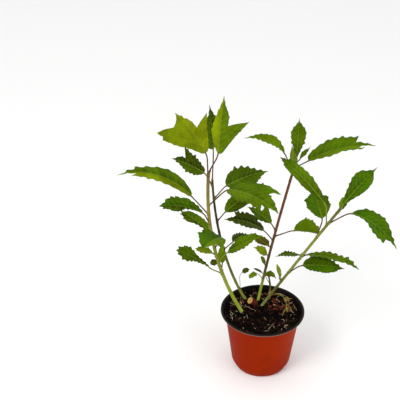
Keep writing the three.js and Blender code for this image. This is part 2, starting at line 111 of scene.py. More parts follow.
GAP = 0.3
SOIL_LEVEL = 77
STEM_FOOT = SOIL_LEVEL + GAP
SOIL_SPACING = 1.1
SOIL_EDGE_RISE = 2
SOIL_EDGE_WIDTH = 4
GRID_TO_EDGE = 0.7
SOIL_LUMPS = ({"pitch": 9, "share": 0.7, "level": 0}, {"pitch": 3.2, "share": 0.45, "level": 40})
SOIL_DIP = {"centre": (2, -16), "depth": 1.6, "spread": 260}
LOWEST_CRUMB = SOIL_LEVEL - 4
LOOKS_UP = 0.3
LUMP_WOBBLE = 1.1

# Stems, by the place of the foot, the point that the curve bends towards, the tip, and the thickness
# at foot and tip.

STEMS = {
    "front_left": {"foot": (-27, 1.5), "bend": (-74, -12, 175), "tip": (-66, -40, 300), "thick": (4.5, 3.6)},
    "back_left": {"foot": (-24, 28), "bend": (-62, 44, 138), "tip": (-69, 65, 230), "thick": (3.7, 2.8)},
    "middle": {"foot": (-6, 26.5), "bend": (7, 40, 155), "tip": (33, 68, 258), "thick": (3.4, 3.4)},
    "right": {"foot": (-1, 14), "bend": (43, -8, 170), "tip": (84, -38, 261), "thick": (3.5, 3.2)},
    "sprout": {"foot": (8, 37.5), "bend": (10, 39, 94), "tip": (5, 40, 108), "thick": (2.6, 1.8)},
}
STEM_SIDES = 28
STEM_RING_PITCH = 0.8
LENGTH_STEPS = 60
STEM_BURIED = 3
FLARE_HEIGHT = 7
FLARE_WIDTH = 0.12
STEM_TIP = 3
TIP_ROUNDING = 0.8
ALONG_STEM = (1, 1, 0.3)
STREAK_ALONG_STEM = (1, 1, 0.14)

# Nodes of a stem: how far and how long they swell, how much of that shows on the far side, and the
# dark scar mark above them. The scars of earlier leaves climb between them in a spiral.

NODE_SWELLING = 0.5
NODE_LENGTH = 1.9
NODE_BACK = 0.3
LEDGE_PLACE = 1.1
LEDGE_WIDTH = 0.45
FIRST_SCAR = 9.0
SCAR_END = 12
SCAR_CLEARANCE = 7
SCAR_PITCH = 17
SCAR_TURN = 137.5
SCAR_RISE = 20
SCAR_SIZE = 0.55
SCAR_SPREAD = (0.75, 1.25)

# Bark colours from the foot of each stem up to its tip, as the eye sees them, by shares of its height.
# They hold some painted light: on the front-left stem the pale foot and the tan near 0.7 are partly
# painted highlight, and its darker stretch from 0.3 to 0.46 is painted shade under its leaves.

STEM_STOPS = {
    "front_left": ((0.0, (168, 184, 70)), (0.12, (138, 152, 30)), (0.3, (122, 132, 28)),
                   (0.46, (112, 118, 26)), (0.7, (142, 130, 44)), (1.0, (104, 80, 30))),
    "back_left": ((0.0, (138, 142, 54)), (0.2, (104, 108, 28)), (0.42, (70, 46, 18)),
                  (0.75, (48, 26, 12)), (1.0, (66, 64, 20))),
    "middle": ((0.0, (160, 184, 66)), (0.14, (136, 150, 40)), (0.24, (84, 66, 26)),
               (0.6, (108, 54, 18)), (0.85, (100, 50, 18)), (1.0, (76, 70, 22))),
    "right": ((0.0, (150, 168, 92)), (0.08, (106, 108, 38)), (0.2, (86, 80, 22)), (0.42, (122, 134, 40)),
              (0.68, (124, 132, 36)), (0.86, (94, 96, 24)), (1.0, (84, 104, 24))),
    "sprout": ((0.0, (186, 158, 110)), (0.18, (150, 130, 84)), (0.34, (62, 70, 22)), (1.0, (50, 66, 16))),
}

# Half outlines of a leaf blade, in shares of its length: along the midrib, then out to the side.
# A point marked 1 is a sharp corner, the tip of a lobe or the notch beside it.

FORMS = {
    "lance": ((0, 0), (0.08, 0.05), (0.3, 0.13), (0.52, 0.13), (0.74, 0.06), (0.88, 0.018), (1, 0)),
    "ovate": ((0, 0), (0.04, 0.09), (0.2, 0.2), (0.42, 0.23), (0.64, 0.15), (0.8, 0.06), (0.9, 0.02),
              (1, 0)),
    "blunt": ((0, 0), (0.05, 0.06), (0.2, 0.15), (0.43, 0.21), (0.66, 0.2), (0.86, 0.15, 1), (0.87, 0.08, 1),
              (1, 0)),
    "spoon": ((0, 0), (0.1, 0.03), (0.3, 0.07), (0.5, 0.12), (0.68, 0.22), (0.83, 0.25, 1), (0.84, 0.17, 1),
              (0.97, 0.13, 1), (0.94, 0.07, 1), (1, 0)),
    "paddle": ((0, 0), (0.1, 0.04), (0.3, 0.12), (0.55, 0.2), (0.72, 0.18), (0.84, 0.07), (0.9, 0.02),
               (1, 0)),
    "hatchet": ((0, 0), (0.1, 0.04), (0.34, 0.08), (0.5, 0.18), (0.6, 0.24), (0.8, 0.2, 1), (0.77, 0.08, 1),
                (0.88, 0.03), (1, 0)),
    "fan": ((0, 0), (0.04, 0.11), (0.2, 0.26), (0.43, 0.4, 1), (0.47, 0.34), (0.58, 0.35), (0.68, 0.39, 1),
            (0.72, 0.3), (0.88, 0.15), (1, 0)),
    "arrow": ((0, 0), (0.05, 0.1), (0.3, 0.21), (0.55, 0.2), (0.78, 0.19, 1), (0.72, 0.08, 1), (0.86, 0.03),
              (1, 0)),
    "hand": ((0, 0), (0.03, 0.1), (0.25, 0.2), (0.5, 0.29), (0.79, 0.43, 1), (0.7, 0.27), (0.64, 0.12, 1),
             (0.78, 0.11), (0.9, 0.035), (1, 0)),
    "three": ((0, 0), (0.02, 0.08), (0.2, 0.2), (0.4, 0.34), (0.62, 0.52, 1), (0.56, 0.3), (0.5, 0.14, 1),
              (0.68, 0.13), (0.84, 0.05), (1, 0)),
    "palm": ((0, 0), (0.02, 0.08), (0.21, 0.26), (0.44, 0.47), (0.66, 0.67, 1), (0.74, 0.6), (0.88, 0.63, 1),
             (0.84, 0.43), (0.77, 0.25, 1), (0.83, 0.14), (0.91, 0.05), (1, 0)),
    "mitten": ((0, 0), (0.04, 0.11), (0.18, 0.2), (0.36, 0.26), (0.57, 0.29), (0.8, 0.32, 1), (0.71, 0.24),
               (0.66, 0.17, 1), (0.79, 0.12), (0.9, 0.05), (1, 0)),
}

# Leaf colours as the eye sees them, from 0 to 255, by a plain name: partly the leaves' own greens, and
# partly painted light and shade, lighter for lit leaf halves and darkest for leaves in shade.

TINTS_WITH_PAINTED_LIGHT = {
    "black": (16, 28, 2),
    "deep": (32, 52, 3),
    "dark": (46, 72, 3),
    "mid": (62, 90, 3),
    "green": (48, 88, 2),
    "fresh": (80, 108, 3),
    "olive": (110, 126, 4),
    "bright": (120, 132, 6),
    "brown": (74, 66, 10),
}

# The leaves, from the foot of each stem to its tip: the share of the stem where the stalk leaves it,
# the stalk's turn about the stem, its rise and its length, the blade's turn, tilt and length, how far
# the blade droops and rolls, its left and right form, its breadth, the fold along its midrib, how deep
# its teeth are cut, and the colours of its left and right half, which hold painted light and shade: each
# half's tint is lighter or darker as light falls on it. A turn of 0 points to the right and 90 to the back.

LEAF_ROWS = (
    ("front_left", 0.305, (-165, 35, 18), (-170, 45, 51), (20, -25), "spoon spoon", 0.82, 10, 0.8,
     "dark dark"),
    ("front_left", 0.33, (70, 72, 10), (105, 62, 23), (15, 0), "ovate ovate", 1, 15, 0.5, "fresh fresh"),
    ("front_left", 0.37, (130, 10, 4), (168, 12, 10), (30, -25), "blunt blunt", 2, 10, 0.8, "black black"),
    ("front_left", 0.4, (-20, 55, 21), (-5, 42, 50), (15, 30), "blunt ovate", 0.72, 15, 0.7, "mid fresh"),
    ("front_left", 0.44, (165, 35, 6), (158, 4, 24), (10, -15), "blunt blunt", 0.9, 10, 0.6, "olive fresh"),
    ("front_left", 0.5, (-47, 56, 27), (-115, 35, 50), (40, -15), "hand fan", 0.98, 5, 0.5, "fresh green"),
    ("front_left", 0.59, (80, -35, 16), (152, 32, 52), (20, -30), "spoon blunt", 0.62, 15, 0.7, "dark mid"),
    ("front_left", 0.67, (-130, 60, 23), (-147, 41, 62), (32, -30), "spoon blunt", 0.72, 20, 0.9,
     "dark green"),
    ("front_left", 0.73, (160, 42, 30), (170, 46, 98), (74, -30), "arrow ovate", 0.42, 20, 0.8, "olive mid"),
    ("front_left", 0.79, (0, 45, 32), (-36, 20, 73), (45, 12), "mitten arrow", 0.95, 5, 0.6, "mid fresh"),
    ("front_left", 0.97, (170, 84, 30), (147, 50, 56), (20, -20), "palm three", 0.95, 5, 0.3,
     "olive bright"),
    ("front_left", 0.99, (-15, 68, 29), (75, 78, 64), (10, 10), "lance three", 0.94, 10, 0.3, "olive fresh"),
    ("back_left", 0.08, (-75, 75, 36), (0, 42, 10.5), (30, 35), "blunt blunt", 1.5, 10, 0.5, "black black"),
    ("back_left", 0.46, (45, 20, 17), (60, 0, 42), (30, 0), "ovate ovate", 0.8, 10, 0.8, "deep deep"),
    ("back_left", 0.69, (20, 50, 17), (45, 20, 57), (20, 20), "ovate ovate", 0.8, 5, 0.6, "mid dark"),
    ("back_left", 0.86, (35, 38, 23), (32, 17, 62), (25, 20), "ovate ovate", 1.15, 0, 1, "dark mid"),
    ("back_left", 0.95, (-160, 62, 24), (178, 34, 44), (20, -35), "ovate hand", 1.05, 10, 0.9, "dark deep"),
    ("back_left", 0.99, (-60, 87, 46), (130, 84, 56), (5, 0), "ovate lance", 1.4, 20, 0.3, "mid dark"),
    ("middle", 0.18, (-133, 50, 18), (-140, 24, 14), (70, -20), "blunt blunt", 1.1, 10, 0.5, "fresh fresh"),
    ("middle", 0.285, (170, 45, 3), (140, 65, 12), (20, 0), "blunt blunt", 1.2, 10, 0.5, "fresh fresh"),
    ("middle", 0.36, (-115, 50, 9), (-168, 45, 22), (20, -30), "ovate ovate", 1.2, 10, 0.5, "olive olive"),
    ("middle", 0.43, (125, -10, 6), (130, 5, 27), (10, 0), "blunt blunt", 1.3, 0, 0.5, "brown brown"),
    ("middle", 0.48, (-128, 52, 31), (-145, 46, 68), (30, -25), "blunt arrow", 0.8, 15, 0.9, "deep black"),
    ("middle", 0.51, (10, 17, 26), (8, -2, 35), (20, 5), "fan lance", 1.3, 32, 0.7, "fresh mid"),
    ("middle", 0.55, (140, 43, 12), (132, 12, 46), (20, -10), "three three", 0.8, 5, 0.7, "dark mid"),
    ("middle", 0.93, (-155, 68, 33), (-168, 55, 58), (60, -25), "lance ovate", 0.66, 15, 0.3, "fresh fresh"),
    ("middle", 0.94, (-90, 56, 10), (-120, 82, 35), (5, 0), "lance lance", 1.1, 20, 0.3, "dark mid"),
    ("middle", 0.96, (5, 32, 20), (16, 28, 88), (40, 10), "arrow arrow", 0.76, 20, 0.5, "mid fresh"),
    ("middle", 0.98, (-65, 70, 11), (85, 84, 52), (8, 10), "paddle paddle", 0.85, 15, 0.8, "mid mid"),
    ("middle", 0.99, (15, 45, 7), (50, 28, 23), (5, 0), "lance lance", 1, 20, 0.3, "mid mid"),
    ("right", 0.26, (127, 40, 4), (-130, 77, 26), (5, 0), "blunt blunt", 0.6, 10, 0.5, "fresh fresh"),
    ("right", 0.35, (-35, 45, 28), (-15, 18, 51), (20, 18), "ovate blunt", 1.15, 12, 0.8, "dark green"),
    ("right", 0.49, (10, 36, 10), (-20, 17, 67), (38, -5), "blunt ovate", 0.55, 15, 0.9, "mid mid"),
    ("right", 0.52, (135, -5, 6), (-142, 28, 37), (25, -10), "ovate lance", 0.7, 10, 0.6, "dark deep"),
    ("right", 0.7, (66, 55, 24), (104, 25, 43), (20, -5), "fan fan", 0.9, 5, 0.7, "green mid"),
    ("right", 0.82, (-170, 82, 30), (142, 38, 76), (20, -25), "blunt blunt", 0.5, 15, 0.5, "mid mid"),
    ("right", 0.84, (-16, 37, 32), (-39, 13, 69), (60, 5), "ovate hatchet", 0.92, 10, 0.3, "green green"),
    ("right", 0.94, (-20, 50, 6), (62, 52, 17), (5, 0), "blunt blunt", 1.2, 0, 0.4, "fresh fresh"),
    ("right", 0.98, (-50, 70, 3), (30, 48, 60), (10, 20), "paddle paddle", 0.98, 15, 0.12, "green green"),
    ("sprout", 0.5, (186, 60, 20), (178, 40, 14), (25, -20), "blunt blunt", 0.55, 10, 0.4, "deep black"),
    ("sprout", 0.9, (180, 20, 5), (-8, 40, 18), (115, 15), "ovate ovate", 1, 10, 0.4, "mid brown"),
)

# The leaves, by stem and share, whose stalks are pale green all along and not red.

PALE_STALKS = {("front_left", 0.305), ("front_left", 0.4), ("middle", 0.18), ("right", 0.82)}

# Stalks: how their curve leaves the stem and reaches the blade, in shares of their length, how they
# swell at both ends, and the rib under the blade that carries them on.

STALK_THICK = 1.8
STALK_SLENDERNESS = 14
STALK_SIDES = 12
STALK_STEPS = 26
STALK_WAIST = 0.86
STALK_LEAVES = 0.5
STALK_ARRIVES = 0.22
STALK_FOOT = {"swelling": 0.3, "length": 3}
STALK_KNEE = {"swelling": 0.18, "length": 2.2}
STALK_GREEN = (0.05, 0.2)
PALE_GREEN = 0.9
RIB_END = 0.72
RIB_STEPS = 20
RIB_THICK = 0.9
RIB_THINNING = 0.7
RIB_SINK = 0.3
RIB_TIP_SINK = -0.35
RIB_TIP_RADIUS = 0.16
RIB_GREEN = 0.85

# Buds, and the pair of scales beside each: where they stand, up and out from the stem.

BUD_SIZE = (0.8, 1.3)
BUD_LENGTH = 2.4
BUD_THICK = 0.55
BUD_ROUND = 0.8
BUD_ENDS = (0.16, 0.98)
BUD_CLEAR = 0.1
BUD_RISE = 1.3
BUD_LEAN = {"up": 0.9, "out": 0.35}
BUD_RINGS = 9
BUD_SIDES = 10
SCALE_ROOT = {"aside": 0.75, "out": 0.6}
SCALE_BELLY = {"away": 0.9, "up": 1.2}
SCALE_TIP = {"aside": 1.6, "up": 3.4}
SCALE_RADIUS = (0.3, 0.05)
SCALE_RINGS = 8
SCALE_SIDES = 6

# Blades: how their section waves, how their edge is toothed, and how their surface swells and ruffles.

WAVE_SLOPE = 0.06
WAVE_TURNS = 2.3
LEAST_BEND = 1e-4
OUTLINE_STEPS = 60
TOOTH_PITCH = 5.5
TOOTH_DEPTH = 0.38
TOOTH_CREST = 0.75
TOOTH_LEAST = 0.45
TOOTH_SPREAD = 1.3
TOOTH_STEPS = 8
TOOTH_NEAR = 0.05
TOOTH_ROUND = 1.2
TOOTHLESS_BASE = 0.12
FULL_TEETH = 0.4
MOST_TEETH = 9
SEEDS_PER_LEAF = 31
GRID_SEEDS = (3.1, 5.7)
GRID_JITTER = 0.3
GRID_TO_RING = 0.5
GRID_TO_VEIN = 0.55
FULL_RELIEF = 45
QUILT_WIDTH = 2.4
RUFFLE_TURNS = 9
RUFFLE_PHASE = 5
RUFFLE_WIDTH = 3.5
STILL_ENDS = 0.15
EDGE_WIDTH = 1.4
PATTERN_STEP = 0.37

# Veins: the share of the midrib between side veins, the angle at which they leave it and reach the
# edge, how they are drawn step by step, how near they come to the edge and to each other, where a
# lobe takes one of its own, and how the longer ones branch.

VEIN_PITCH = 0.105
VEIN_ANGLES = (54, 30)
VEIN_STEP = 0.9
VEIN_FEELER = 0.4
VEIN_CLEARANCE = 1.5
VEIN_TO_EDGE = 0.25
VEIN_TO_VEIN = 0.4
VEIN_REACH = 0.985
VEIN_JITTER = 0.03
VEIN_SHIFT = 0.01
VEIN_RAISED = 0.5
VEIN_BEND_SPAN = 1.4
VEIN_LIMIT = 3
LEAST_VEIN = 4
LEAST_MIDRIB = 8
FIRST_VEIN = 0.02
LAST_VEIN = 0.9
LAST_LOBE = 0.95
LOBE_ANGLE = 40
LOBE_BOW = (-0.02, 0.03)
LOBE_ROOM = 0.055
BRANCHED_LENGTH = 9
BRANCH_SHARES = (0.3, 0.52, 0.74)
BRANCH_ANGLE = 38
BRANCH_BEND = 0.6
BRANCH_SPAN = 8
BRANCH_ROOM = 3

# The ranks of the veins, from midrib to branches: the depth and width of the groove, and the width
# and weight of the colour.

VEIN_RANKS = (
    {"depth": 0.55, "groove": 1.1, "line": 0.6, "weight": 1.0},
    {"depth": 0.36, "groove": 0.8, "line": 0.42, "weight": 0.75},
    {"depth": 0.2, "groove": 0.6, "line": 0.34, "weight": 0.4},
)

# The stub of an old stem, by the centres of its foot and its cut face. The face is a shallow solid of
# its own, in rings by shares of its radius.

STUMP = {"foot": (-9.5, 14, 80.4), "face": (-16, 10.5, 87), "radius": (4.1, 4.6)}
STUMP_RINGS = 15
STUMP_SIDES = 30
STUMP_INSET = 0.15
YEAR_RINGS = 7
FACE_BACK = 0.2
FACE_LIFT = 0.25
FACE_RINGS = (0.93, 0.8, 0.62, 0.44, 0.26, 0.1, 0.0)

# A dried stalk that arches over the soil, with one side shoot, thin strands beside it, and a knot at
# every pitch, in shares of its length.

TWIG_LOW = STEM_FOOT + 0.8
TWIG_MAIN = ((13, 37, 0), (22, 29, 7), (29, 16, 6), (31, 2, 0))
TWIG_BRANCH = ((27, 20, 6.5), (31, 24, 6), (33, 27, 2))
TWIG_RADIUS = (0.9, 0.6)
TWIG_STEPS = 48
TWIG_SIDES = 10
KNOT_PITCH = 0.24
KNOT_WIDTH = 0.03
KNOT_SWELLING = 0.2
TWIG_STRANDS = (
    ((24, 26, 6), (19, 32, 5.5), (12, 36, 1)), ((29.5, 13, 5.5), (34, 8, 4), (38, 1, 0)),
    ((28, 18, 6), (33, 19, 8), (37, 24, 5)), ((30.5, 8, 3), (27, 0, 2), (25, -6, 0)),
)
STRAND_RADIUS = (0.4, 0.22)

# Pale fibres that lie on the soil, each by its two ends, and a spray of short ones all over it.

FIBRES = (
    ((-40, -4), (-38, -13)), ((-35, -4), (-38, -12)), ((-38, -12), (-37, -20)), ((-41, 1), (-37, -6)),
    ((13, -23), (9, -32)), ((13, -23), (16.5, -32)), ((11, -27), (8, -34)), ((-23, 12.6), (-8, 1)),
    ((24, -12), (28, -17)), ((-43, 15), (-33, 10)), ((-37, 20), (-22, 9)), ((-41, 10), (-31, 14)),
    ((-40, 19), (-26, 13)), ((2, -37), (9, -36)), ((34, 8), (40, 3)), ((33, -22), (27, -28)),
    ((-14, 37), (-7, 41)), ((20, 39), (29, 34)), ((38, 18), (41, 10)), ((4, 40), (12, 36)),
    ((25, 28), (36, 20)), ((17, 31), (24, 36)), ((36, 14), (30, 2)), ((-20, -6), (-18, -14)),
    ((2, -8), (5, -14)), ((30, 26), (34, 12)), ((33, 22), (39, 24)),
)
FIBRE_SPRAY = 60
FIBRE_INNER = 0.45
FIBRE_LENGTH = 5
FIBRE_LEAST = 0.3
FIBRE_RADIUS = 0.2
FIBRE_RINGS = 14
FIBRE_SIDES = 7
FIBRE_BOW = 0.25
FIBRE_LIFT = 0.4
FIBRE_ARCH = 0.5

# The patches where chips of bark gather, how far out any chip lies, and the shares at which their
# kinds change from dark to red and to tan.

CHIP_PATCHES = (
    {"centre": (24, 14), "spread": 18, "count": 64, "size": 8.5},
    {"centre": (4, 38), "spread": 15, "count": 30, "size": 7},
    {"centre": (-28, 16), "spread": 16, "count": 20, "size": 4.5},
    {"centre": (26, -20), "spread": 13, "count": 14, "size": 5},
    {"centre": (-16, -24), "spread": 18, "count": 7, "size": 3.5},
    {"centre": (-6, 8), "spread": 6, "count": 5, "size": 7},
)
CHIP_REACH = 46
CHIP_MIX = (0.35, 0.82)

# The shape of a chip, and its section: the height of each ring in shares of its thickness, and its
# breadth.

CHIP_CORNERS = 9
CHIP_LEAST = 0.3
CHIP_SKEW = 0.6
CHIP_BREADTH = (0.6, 1.2)
CHIP_SLENDER = (0.25, 0.75)
CHIP_SLOPE = 0.55
CHIP_THICK = 0.4
CHIP_THICKER = 0.16
CHIP_UNEVEN = 0.2
CHIP_SECTION = ((-0.5, 0.86), (0.0, 1.0), (0.42, 0.9), (0.5, 0.6))

# The stage in metres, and the camera by the photo's own place, turn and breadth of view.

FLOOR_HALF = 6.0
LIT_POINT = (0, 0, 0.19)
CAMERA_PLACE = (0, -950.7, 814.2)
CAMERA_PITCH = 31.11
CAMERA_YAW = 4.74
CAMERA_LENS = 85.17
SENSOR_WIDTH = 36


# Colours and properties

def paint(red, green, blue):
    """A colour of the eye's scale, 0 to 255, in Blender's linear one, by the sRGB formula."""
    shares = [value / 255 for value in (red, green, blue)]
    return tuple(s / 12.92 if s <= 0.04045 else ((s + 0.055) / 1.055) ** 2.4 for s in shares)


def shade(colour, factor):
    """The same colour made darker or lighter, by one factor or by one for each of its parts."""
    return np.minimum(1, np.multiply(colour, factor)).tolist()


def colour_property(name, description, default):
    return FloatVectorProperty(
        name=name, description=description, subtype="COLOR", size=3, default=default, min=0, max=1)


def length_property(name, description, default, low, high):
    """A length, given here in millimetres."""
    return FloatProperty(
        name=name, description=description, unit="LENGTH",
        default=default * MM, min=low * MM, max=high * MM)


class HibiscusPot(PropertyGroup):
    outside: colour_property("Outside", "Colour of the pot's outer wall", paint(136, 31, 0))
    inside: colour_property("Inside", "Colour of the rim and the inner wall", paint(38, 29, 25))
    scuffing: FloatProperty(
        name="Scuffing", description="How much of the wall is rubbed or soiled", subtype="FACTOR",
        default=0.5, min=0, max=1)


class HibiscusSoil(PropertyGroup):
    colour: colour_property("Soil", "Colour of the potting soil", paint(9, 6, 4))
    lump_height: length_property("Lump height", "Height of the lumps in the soil's surface", 1.7, 0, 5)
    crumb_size: length_property("Crumb size", "Radius of the larger loose crumbs", 1.3, 0.2, 5)
    crumb_density: FloatProperty(
        name="Crumb density", description="Loose crumbs on each square metre", default=260000, min=0)
    seed: IntProperty(name="Seed", description="Start of the scatter of crumbs", default=7, min=0)


class HibiscusStem(PropertyGroup):
    relief: length_property("Bark relief", "Height of the ridges in the bark", 0.12, 0, 1)
    pore_size: length_property("Pore size", "Length of the raised pores on the bark", 0.42, 0.1, 2)
    pore_density: FloatProperty(
        name="Pore density", description="Raised pores on each square metre of bark", default=42000, min=0)
    seed: IntProperty(name="Seed", description="Start of the scatter of pores", default=3, min=0)


class HibiscusLeaf(PropertyGroup):
    spacing: length_property("Point spacing", "Distance between points inside a blade", 1.05, 0.5, 5)
    thickness: length_property("Thickness", "Thickness of a blade", 0.35, 0.1, 1)
    quilting: length_property("Quilting", "How far a blade swells between its veins", 0.5, 0, 2)
    ruffle: length_property("Ruffle", "How far a blade's edge waves up and down", 0.7, 0, 3)
    vein: colour_property("Vein", "Colour of the veins", paint(150, 166, 16))
    stalk: colour_property("Stalk", "Colour of the leaf stalks", paint(66, 20, 10))


class HibiscusStage(PropertyGroup):
    floor: colour_property("Floor", "Colour of the floor", (0.95, 0.95, 0.95))
    sky_strength: FloatProperty(
        name="Sky", description="Strength of the even light from all round", default=0.9, min=0)
    key_strength: FloatProperty(
        name="Key light", description="Power of the large light from the upper left", unit="POWER",
        default=11, min=0)
    fill_strength: FloatProperty(
        name="Fill light", description="Power of the large light from the right", unit="POWER",
        default=4, min=0)


# Small sums

def lerp(a, b, share):
    return a + (b - a) * share


def chance(seed):
    """The same seed always gives the same number between 0 and 1."""
    value = math.sin(seed * HASH_STEP) * HASH_SCALE
    return value - math.floor(value)


def draw(seed, low, high):
    """The same seed always gives the same number between the two bounds. What is added to a seed
    only keeps one draw apart from another."""
    return lerp(low, high, chance(seed))


def bell(away, width):
    """1 in the middle, and falling off evenly on both sides of it."""
    return np.exp(-(away / width) ** 2)


def direction(turn, rise):
    """A turn about the upright axis and a rise above the level, in degrees, as a direction."""
    flat = math.cos(math.radians(rise))
    angle = math.radians(turn)
    return np.array((flat * math.cos(angle), flat * math.sin(angle), math.sin(math.radians(rise))))


def unit(vector):
    return vector / max(np.linalg.norm(vector), TINY)


def spline(points, count):
    """Count + 1 points of an even curve through the given ones."""
    knots = np.array(points, float)
    last = len(knots) - 1
    places = np.linspace(0, last, count + 1)
    first = np.minimum(places.astype(int), last - 1)
    share = (places - first)[:, None]
    before, here = knots[np.maximum(first - 1, 0)], knots[first]
    there, after = knots[first + 1], knots[np.minimum(first + 2, last)]
    leave, arrive = (there - before) / 2, (after - here) / 2
    cubic = (2 * here - 2 * there + leave + arrive) * share ** 3
    square = (3 * there - 3 * here - 2 * leave - arrive) * share ** 2
    return cubic + square + leave * share + here


def along_line(points, shares):
    """The points of a line at shares of its length."""
    points = np.asarray(points, float)
    steps = np.linalg.norm(np.diff(points, axis=0), axis=1)
    walked = np.concatenate(([0], np.cumsum(steps)))
    wanted = np.asarray(shares) * walked[-1]
    return np.stack([np.interp(wanted, walked, column) for column in points.T], axis=1)


def line_length(points):
    return float(np.linalg.norm(np.diff(points, axis=0), axis=1).sum())


def bezier(points, shares):
    """A curve drawn by three or four control points."""
    rows = np.repeat(np.array(points, float)[None], len(shares), axis=0)
    share = np.asarray(shares)[:, None, None]
    while rows.shape[1] > 1:
        rows = rows[:, :-1] * (1 - share) + rows[:, 1:] * share
    return rows[:, 0]


def rough(place, pitch):
    """Uneven height between about -1 and 1 at a place, with lumps of about the given pitch."""
    place = Vector(place) / pitch
    return noise.fractal(place, NOISE_FALL, NOISE_STEP, NOISE_LAYERS, noise_basis="PERLIN_ORIGINAL")


# Flat outlines

def circle(radius, sides, centre=(0, 0), turn=0.0):
    """Points round a centre, turned by a share of the step from one to the next."""
    angles = (np.arange(sides) + turn) * 2 * math.pi / sides
    return np.stack([centre[0] + radius * np.cos(angles), centre[1] + radius * np.sin(angles)], axis=1)


def at_height(points, height):
    return [(x, y, height) for x, y in points]


def hexagonal(spacing, low, high):
    """Points of an even grid of triangles over a box."""
    rows = np.arange(low[1], high[1], spacing * math.sqrt(0.75))
    points = []
    for i, y in enumerate(rows):
        columns = np.arange(low[0] + (i % 2) * spacing / 2, high[0], spacing)
        points.append(np.stack([columns, np.full(len(columns), y)], axis=1))
    return np.concatenate(points)


def inside(points, ring):
    """Which of the points lie inside a closed ring."""
    x, y = points[:, :1], points[:, 1:]
    start, end = ring.T[:, None, :], np.roll(ring, -1, axis=0).T[:, None, :]
    crosses = (start[1] > y) != (end[1] > y)
    level = np.where(end[1] == start[1], TINY, end[1] - start[1])
    at = start[0] + (y - start[1]) / level * (end[0] - start[0])
    return (crosses & (x < at)).sum(axis=1) % 2 == 1


def nearest(points, others):
    """The distance from each point to the nearest of the others."""
    if not len(others):
        return np.full(len(points), FAR)
    gaps = np.asarray(points)[:, None] - np.asarray(others)[None]
    return np.sqrt((gaps ** 2).sum(axis=2).min(axis=1))


def fill(rings, extra=()):
    """Triangles inside the first ring and outside the others, through the extra points as well."""
    points = np.concatenate([*rings, np.reshape(extra, (-1, 2))])
    edges = []
    start = 0
    for ring in rings:
        edges.extend((start + i, start + (i + 1) % len(ring)) for i in range(len(ring)))
        start += len(ring)
    found = delaunay_2d_cdt([Vector(point) for point in points], edges, [], ALL_INSIDE, SAME_POINT)
    places = np.array(found[0], float)
    faces = []
    for face in found[2]:
        a, b, c = places[list(face)]
        if any(inside((a + b + c)[None] / 3, hole)[0] for hole in rings[1:]):
            continue
        area = (b[0] - a[0]) * (c[1] - a[1]) - (c[0] - a[0]) * (b[1] - a[1])
        faces.append(tuple(face) if area > 0 else tuple(reversed(face)))
    return places, faces


# Meshes

def put(name, data):
    """A new object in the scene."""
    made = bpy.data.objects.new(name, data)
    bpy.context.scene.collection.objects.link(made)
    return made


def spokes(front, side, sides):
    """Directions all round an axis, the first of them to the given side."""
    other = np.cross(front, side)
    angles = 2 * math.pi * np.arange(sides) / sides
    return np.outer(np.cos(angles), side) + np.outer(np.sin(angles), other)


def walls(rings, sides):
    """Faces between the neighbouring rings of a stack, each ring with the same number of points."""
    faces = []
    for i in range(rings - 1):
        for k in range(sides):
            a, b = i * sides + k, i * sides + (k + 1) % sides
            faces.append((a, b, b + sides, a + sides))
    return faces


def foot_face(sides):
    """The face that closes the first ring of a stack."""
    return tuple(reversed(range(sides)))


def closed_stack(rings, sides):
    """Faces of a stack of rings that is closed at both ends."""
    return [foot_face(sides), *walls(rings, sides), tuple(range((rings - 1) * sides, rings * sides))]


class Shape:
    """Points, faces and values at the points, gathered in millimetres into one mesh."""

    def __init__(self, *marks):
        self.points = []
        self.faces = []
        self.slots = []
        self.marks = {name: [] for name in marks}

    def add(self, points, faces, slots=0, **marks):
        start = len(self.points)
        self.points.extend(points)
        self.faces.extend([start + corner for corner in face] for face in faces)
        self.slots.extend(slots if hasattr(slots, "__len__") else [slots] * len(faces))
        for name, kept in self.marks.items():
            values = marks.get(name, 0.0)
            kept.extend(values if hasattr(values, "__len__") else [values] * len(points))

    def tube(self, path, radii, sides, wobble=None, **marks):
        """A closed tube along a path. The wobble gives each point's extra radius."""
        path = np.asarray(path, float)
        radii = np.broadcast_to(radii, len(path))
        ahead = np.gradient(path, axis=0)
        side = np.cross(ahead[0], UP)
        side = side if np.linalg.norm(side) > TINY else np.array((1.0, 0.0, 0.0))
        points = []
        for i, centre in enumerate(path):
            front = unit(ahead[i])
            side = unit(side - front * side.dot(front))
            for out in spokes(front, side, sides):
                radius = radii[i] + (wobble(i, out, centre) if wobble else 0)
                points.append(centre + out * radius)
        spread = {name: np.repeat(np.broadcast_to(value, len(path)), sides) for name, value in marks.items()}
        self.add(points, closed_stack(len(path), sides), **spread)

    def make(self, name, materials, sharp_angle=60):
        mesh = bpy.data.meshes.new(name)
        mesh.from_pydata([tuple(np.asarray(p) * MM) for p in self.points], [], self.faces)
        for material in materials:
            mesh.materials.append(material)
        mesh.polygons.foreach_set("material_index", self.slots)
        for mark, values in self.marks.items():
            wide = hasattr(values[0], "__len__")
            layer = mesh.attributes.new(mark, "FLOAT_VECTOR" if wide else "FLOAT", "POINT")
            layer.data.foreach_set("vector" if wide else "value", np.array(values, np.float32).ravel())
        mesh.validate()
        mesh.shade_smooth()
        mesh.set_sharp_from_angle(angle=math.radians(sharp_angle))
        return put(name, mesh)


def weld(piece):
    """Merges the points of a piece that lie on each other, and turns its faces outwards."""
    mesh = bmesh.new()
    mesh.from_mesh(piece.data)
    bmesh.ops.remove_doubles(mesh, verts=mesh.verts, dist=SAME_POINT)
    bmesh.ops.recalc_face_normals(mesh, faces=mesh.faces)
    mesh.to_mesh(piece.data)
    mesh.free()


def settle(piece, slot, *nodes):
    """Gives a finished piece its body and hides the imported nodes that it stands for. The slot is not used.
    """
    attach(piece, "root")
    if nodes:
        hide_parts(*nodes)


# Node trees

